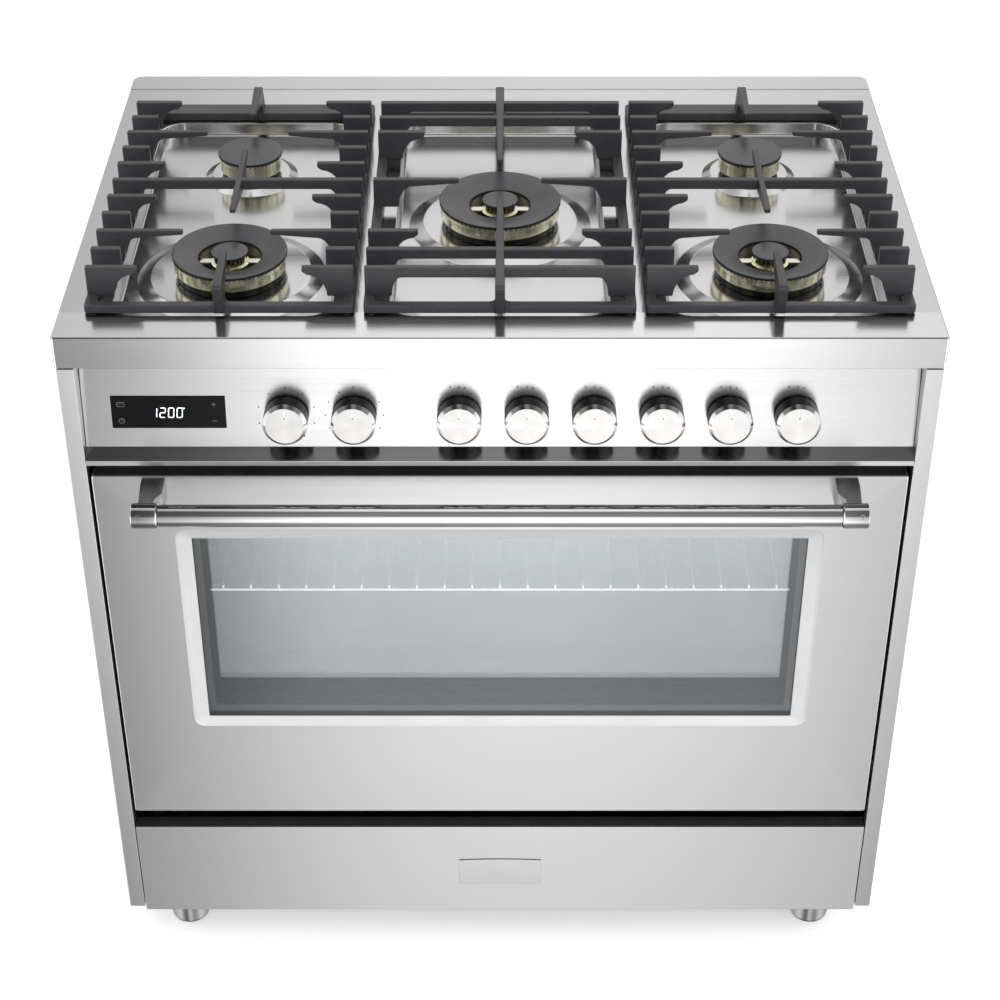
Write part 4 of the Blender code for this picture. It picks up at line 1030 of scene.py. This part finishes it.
def door_skin():
    """Pressed front sheet: folded edges, and a recess round the window."""
    low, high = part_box("door_outer")
    half_x = span("door_outer", "x")[1]
    middle, half_z = span("door_outer", "z")
    near = low.y - FRONT
    back = high.y - FRONT
    window_half = span("door_glass_outer", "x")[1] - 0.0105
    window_z, window_tall = span("door_glass_outer", "z")
    window_tall -= 0.0108
    sheet = Sheet(facing)
    edge = [(-0.0022, 0), (-0.0011, 0.0003), (-0.0003, 0.0011), (0, 0.0024), (0, back - near)]
    outer = sheet.stack(lambda g: rounded(half_x + g, half_z + g, SHEET_CORNER + g), edge, (0, middle), near)
    press = [(PRESS_WIDE, 0), (0.0162, 0.0001), (0.0152, 0.0004), (0.0142, 0.0007), (0.001, 0.0019),
             (0.0003, 0.0021), (0, 0.0024), (0, 0.0027)]
    rings = sheet.stack(lambda g: rounded(window_half + g, window_tall + PRESS_TALL * g, 0.0012 + 0.62 * g),
                        press, (0, window_z), near)
    for face in sheet.bm.faces:
        spot = face.calc_center_median()
        beside = abs(spot.x) < window_half + PRESS_WIDE
        face.material_index = 1 if beside and abs(spot.z - window_z) < window_tall + PRESS_WIDE else 0
    sheet.flat(outer[0], rings[0])
    open_at_hinges(sheet.bm, low.z)
    item = piece("door_front_sheet", sheet.bm, ["steel", "frame"], "door_outer", 40.0, False)
    thicken(item, 0.0008)


def glass_border():
    """Dark band printed on the inner face of the outer glass."""
    node = "door_glass_outer"
    sheet = Sheet(facing)
    middle, half_z = span(node, "z")
    half_x, half_z = span(node, "x")[1] - 0.003, half_z - 0.003
    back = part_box(node)[1].y - FRONT
    rings = []
    for depth in (back + 0.0002, back + 0.0005):
        rings.append(sheet.ring(rounded(half_x, half_z, 0.004, 4), (0, middle), depth))
        hole = rounded(half_x - 0.0155, half_z - 0.015, 0.004, 4)
        rings.append(sheet.ring(hole, (0, middle + 0.0052), depth))
    sheet.loop(rings)
    piece("door_glass_border", sheet.bm, "border", node, 40.0, False, instead=False)


def handle():
    low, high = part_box("handle_bar")
    middle = (low + high) / 2
    radius = (high.z - low.z) / 2
    length = high.x - low.x
    bar = lathe([(0, 0), (radius - 0.0008, 0), (radius, 0.0006), (radius, length - 0.0006),
                 (radius - 0.0008, length), (0, length)], 96)
    place = Matrix.Translation((low.x, middle.y, middle.z)) @ Matrix.Rotation(pi / 2, 4, "Y")
    piece("handle_bar_detail", bar, "polished", "handle_bar", 30.0, True, place)
    for side, end in ((-1, "left"), (1, "right")):
        handle_bracket(side, "handle_bracket_" + end, middle)


def handle_bracket(side, node, middle):
    """Round socket on the bar's end, a post back to the door, and a ring round its screw."""
    low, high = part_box(node)
    outer = max(abs(low.x), abs(high.x))
    radius = (high.z - low.z) / 2
    reach = SOCKET_REACH
    socket = lathe([(0, 0), (radius - 0.0016, 0), (radius - 0.0002, 0.0012), (radius, 0.0016),
                    (radius, reach - 0.0014), (radius - 0.0004, reach - 0.0006), (radius - 0.0012, reach),
                    (0, reach)], 96)
    turn = Matrix.Rotation(side * pi / 2, 4, "Y")
    socket.transform(Matrix.Translation((side * (outer - reach), middle.y, middle.z)) @ turn)
    back = high.y
    outline = [(-0.0125, 0), (0.0125, 0), (0.0124, 0.012), (0.0118, 0.024), (0.0108, 0.036),
               (0.0098, back - middle.y), (-0.006, back - middle.y), (-0.006, 0.038)]
    outline += [(-0.0125 + 0.0065 * t * t, 0.024 + 0.014 * t) for t in (0.8, 0.6, 0.4, 0.2, 0)]
    points = [(side * (POST_X + x), back - d, middle.z + radius - 0.0006) for x, d in outline]
    post = extruded(points, (0, 0, 0.0012 - 2 * radius))
    absorb(socket, soften(post, 0.0012, 3, 30.0), 1)
    screw = lathe([(0.0021, 0), (0.0026, 0), (0.0026, 0.0003), (0.0021, 0.0003)], 24, closed=True)
    spin = Matrix.Rotation(radians(-62), 4, "X")
    screw.transform(Matrix.Translation((side * (outer - 0.008), middle.y, middle.z)) @ spin.inverted()
                    @ Matrix.Translation((0, 0, radius - 0.0002)))
    absorb(socket, screw)
    piece(node + "_detail", socket, ["polished", "bracket"], node, 30.0)


# ---- feet, rack and the rest --------------------------------------------------------
FOOT_BORE = (0.0104, 0.07)
WIRES = 23


def feet():
    bore, deep = FOOT_BORE
    for end in ("front_left", "front_right", "rear_left", "rear_right"):
        node = "foot_" + end
        low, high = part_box(node)
        middle = (low + high) / 2
        radius = (high.x - low.x) / 2
        height = high.z - low.z
        bm = lathe([(0, 0), (radius - 0.002, 0), (radius - 0.001, 0.0004), (radius - 0.001, 0.0022),
                    (radius - 0.0004, 0.0024), (radius, 0.003), (radius, height - 0.0006),
                    (radius - 0.0006, height), (bore, height), (bore, height - deep), (0, height - deep)], 64)
        paint(face for face in bm.faces if face.calc_center_median().z < 0.0023)
        place = Matrix.Translation((middle.x, middle.y, 0))
        piece(node + "_detail", bm, ["foot", "rubber"], node, 30.0, True, place)


def rack():
    """Round wires in place of the shelf's square ones. The front bar and its studs glow as a painted highlight,
    and the other wires take a dark colour as painted shade.
    """
    low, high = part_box("oven_rack")
    bm = bmesh.new()

    def wire(start, end, radius, bright=0):
        run = Vector(end) - Vector(start)
        bar = disc(radius, run.length, 12)
        bar.transform(Matrix.Translation(start) @ run.to_track_quat("Z", "Y").to_matrix().to_4x4())
        absorb(bm, bar, bright)

    thick = 0.0025
    z = low.z + thick
    for x in (low.x + thick, high.x - thick):
        wire((x, low.y, z), (x, high.y, z), thick)
    wire((low.x, low.y + thick, z), (high.x, low.y + thick, z), 0.0012, 1)
    wire((low.x, high.y - thick, z), (high.x, high.y - thick, z), thick)
    for index in range(WIRES):
        x = low.x + (index + 0.5) * (high.x - low.x) / WIRES
        over = z + thick + 0.001
        wire((x, low.y + 0.002, over), (x, low.y + 0.005, over), 0.0012, 1)
        wire((x, low.y + 0.005, over), (x, high.y - 0.002, over), 0.0011)
    piece("oven_rack_wires", bm, ["rack_wire", "rack_front"], "oven_rack", 40.0, False)


def repaint():
    """CAD nodes whose shape is right keep it and take a finished material."""
    looks = {
        "zinc": ["base_pan", "drawer_box"],
        "enamel": ["oven_cavity", "fan_cover", "door_liner"],
        "fan": ["convection_fan"],
        "rubber": ["door_gasket"],
        "plated": ["gas_manifold", "hinge_left", "hinge_right"] + ["valve_spindle_%d" % n for n in range(1, 7)],
        "glass": ["door_glass_outer"],
        "inner_glass": ["door_glass_inner"],
    }
    for key, nodes in looks.items():
        for node in nodes:
            mesh = NODES[node].data
            mesh.materials.clear()
            mesh.materials.append(MATERIALS[key])


# ---- studio -------------------------------------------------------------------------
# Strength of the surround by the sine of elevation, towards the front and the back,
# and its share by the sine of the bearing to the right.
FRONT_SKY = [
    (-1, 0.4), (-0.78, 0.64), (-0.645, 1.42), (-0.52, 2.32), (-0.38, 2.6), (-0.1, 2.0), (0.3, 1.5),
    (0.45, 0.4), (0.86, 0.33), (0.97, 0.33), (0.99, 1.3), (1, 1.6),
]
BACK_SKY = [
    (-1, 0.6), (0, 0.9), (0.38, 1.05), (0.5, 1.15), (0.6, 1.5), (0.8, 1.4), (1, 1.2),
]
FRONT_ACROSS = [
    (-1, 1), (-0.6, 1.05), (-0.42, 0.3), (-0.28, 0.08), (-0.18, 0.25), (-0.06, 1), (0.02, 1.06),
    (0.1, 0.93), (0.2, 0.48), (0.3, 0.4), (0.42, 0.4), (0.6, 1.05), (1, 1),
]
BACK_ACROSS = [
    (-1, 1), (-0.45, 1), (-0.28, 0.55), (-0.18, 0.7), (-0.06, 1), (0.06, 1.05), (0.2, 0.92),
    (0.3, 0.75), (0.45, 0.9), (1, 1),
]
CEILING = 3.0
PAPER_GLOW = 0.3
LENS = 78.1
EYE = (0, -1.8566, 1.1261)
LOOK_DOWN = 35.51


def studio_world():
    world = bpy.data.worlds.new("studio")
    bpy.context.scene.world = world
    world.use_nodes = True
    world.node_tree.nodes.clear()
    sky = Nodes(world.node_tree)
    node = sky.node

    def maths(operation, *values):
        return node("ShaderNodeMath", enumerate(values), operation=operation).outputs["Value"]

    def curve(source, stops):
        fac = maths("MULTIPLY_ADD", source, 0.5, 0.5)
        ramp = node("ShaderNodeValToRGB", {"Fac": fac})
        ramp.color_ramp.interpolation = "EASE"
        while len(ramp.color_ramp.elements) < len(stops):
            ramp.color_ramp.elements.new(0.5)
        for element, (place, value) in zip(ramp.color_ramp.elements, stops):
            element.position = (place + 1.0) / 2
            element.color = (value / CEILING, value / CEILING, value / CEILING, 1)
        return maths("MULTIPLY", ramp.outputs["Color"], CEILING)

    coords = node("ShaderNodeTexCoord").outputs["Generated"]
    towards = node("ShaderNodeSeparateXYZ", {"Vector": coords}).outputs
    up, right = towards["Z"], towards["X"]
    behind = sky.ranged(towards["Y"], 0, 1, -0.25, 0.25, interpolation_type="SMOOTHSTEP")
    front = maths("MULTIPLY", curve(up, FRONT_SKY), curve(right, FRONT_ACROSS))
    back = maths("MULTIPLY", curve(up, BACK_SKY), curve(right, BACK_ACROSS))
    ahead = maths("SUBTRACT", 1, behind)
    level = maths("ADD", maths("MULTIPLY", front, ahead), maths("MULTIPLY", back, behind))
    lit = node("ShaderNodeBackground", {"Strength": level}).outputs["Background"]
    plain = node("ShaderNodeBackground", {"Strength": 1.0}).outputs["Background"]
    seen = node("ShaderNodeLightPath").outputs["Is Camera Ray"]
    mix = node("ShaderNodeMixShader", {"Fac": seen, 1: lit, 2: plain})
    node("ShaderNodeOutputWorld", {"Surface": mix.outputs["Shader"]})


def sun(location, energy, spread):
    data = bpy.data.lights.new("overhead", "SUN")
    data.energy = energy
    data.angle = radians(spread)
    lamp = placed("overhead", data)
    lamp.location = location
    lamp.rotation_euler = Vector(location).to_track_quat("Z", "Y").to_euler()
    lamp.visible_glossy = False


def studio():
    """White surround, one wide sun and a large round-cornered floor."""
    studio_world()
    sheet = Sheet()
    sheet.bm.faces.new(sheet.ring(rounded(14.0, 14.0, 6.0, 12)))
    mesh = as_mesh("floor", sheet.bm)
    floor = placed("studio_floor", mesh)
    floor.visible_glossy = False
    paper = Finish("studio_paper", (0.86, 0.86, 0.86), 0.85, Specular_IOR_Level=0.1,
                   Emission_Color=(1, 1, 1, 1), Emission_Strength=PAPER_GLOW)
    paper.bump(paper.noise(60.0), 0.02, 0.0005)
    mesh.materials.append(paper.material)
    sun((0.3, -1.5, 2.0), 2.6, 40.0)
    bpy.context.scene.view_settings.view_transform = "Standard"


def camera():
    data = bpy.data.cameras.new("camera")
    data.sensor_width = 36.0
    data.lens = LENS
    data.clip_end = 60.0
    eye = placed("camera", data)
    eye.location = hob(*EYE)
    eye.rotation_euler = (radians(90.0 - LOOK_DOWN), 0, 0)
    bpy.context.scene.camera = eye


def main():
    worktop_piece()
    refined("rear_trim", "steel", 0.0014, 3)
    refined("side_panel_left", "steel_side", 0.0009)
    refined("side_panel_right", "steel_side", 0.0009)
    refined("back_panel", "zinc", 0.0004, 1)
    grate("grate_left", side_bars)
    grate("grate_right", side_bars)
    grate("grate_centre", centre_bars)
    for name in BURNERS:
        burner_head(name)
        burner_cap(name)
        if BURNERS[name][2] > SMALL:
            inner_cap(name)
    split_fascia()
    knobs()
    marks()
    display()
    door_skin()
    glass_border()
    handle()
    refined("drawer_front", "steel", 0.0012, 3)
    refined("badge", "polished", 0.0004, 2)
    feet()
    rack()
    repaint()
    studio()
    camera()


main()
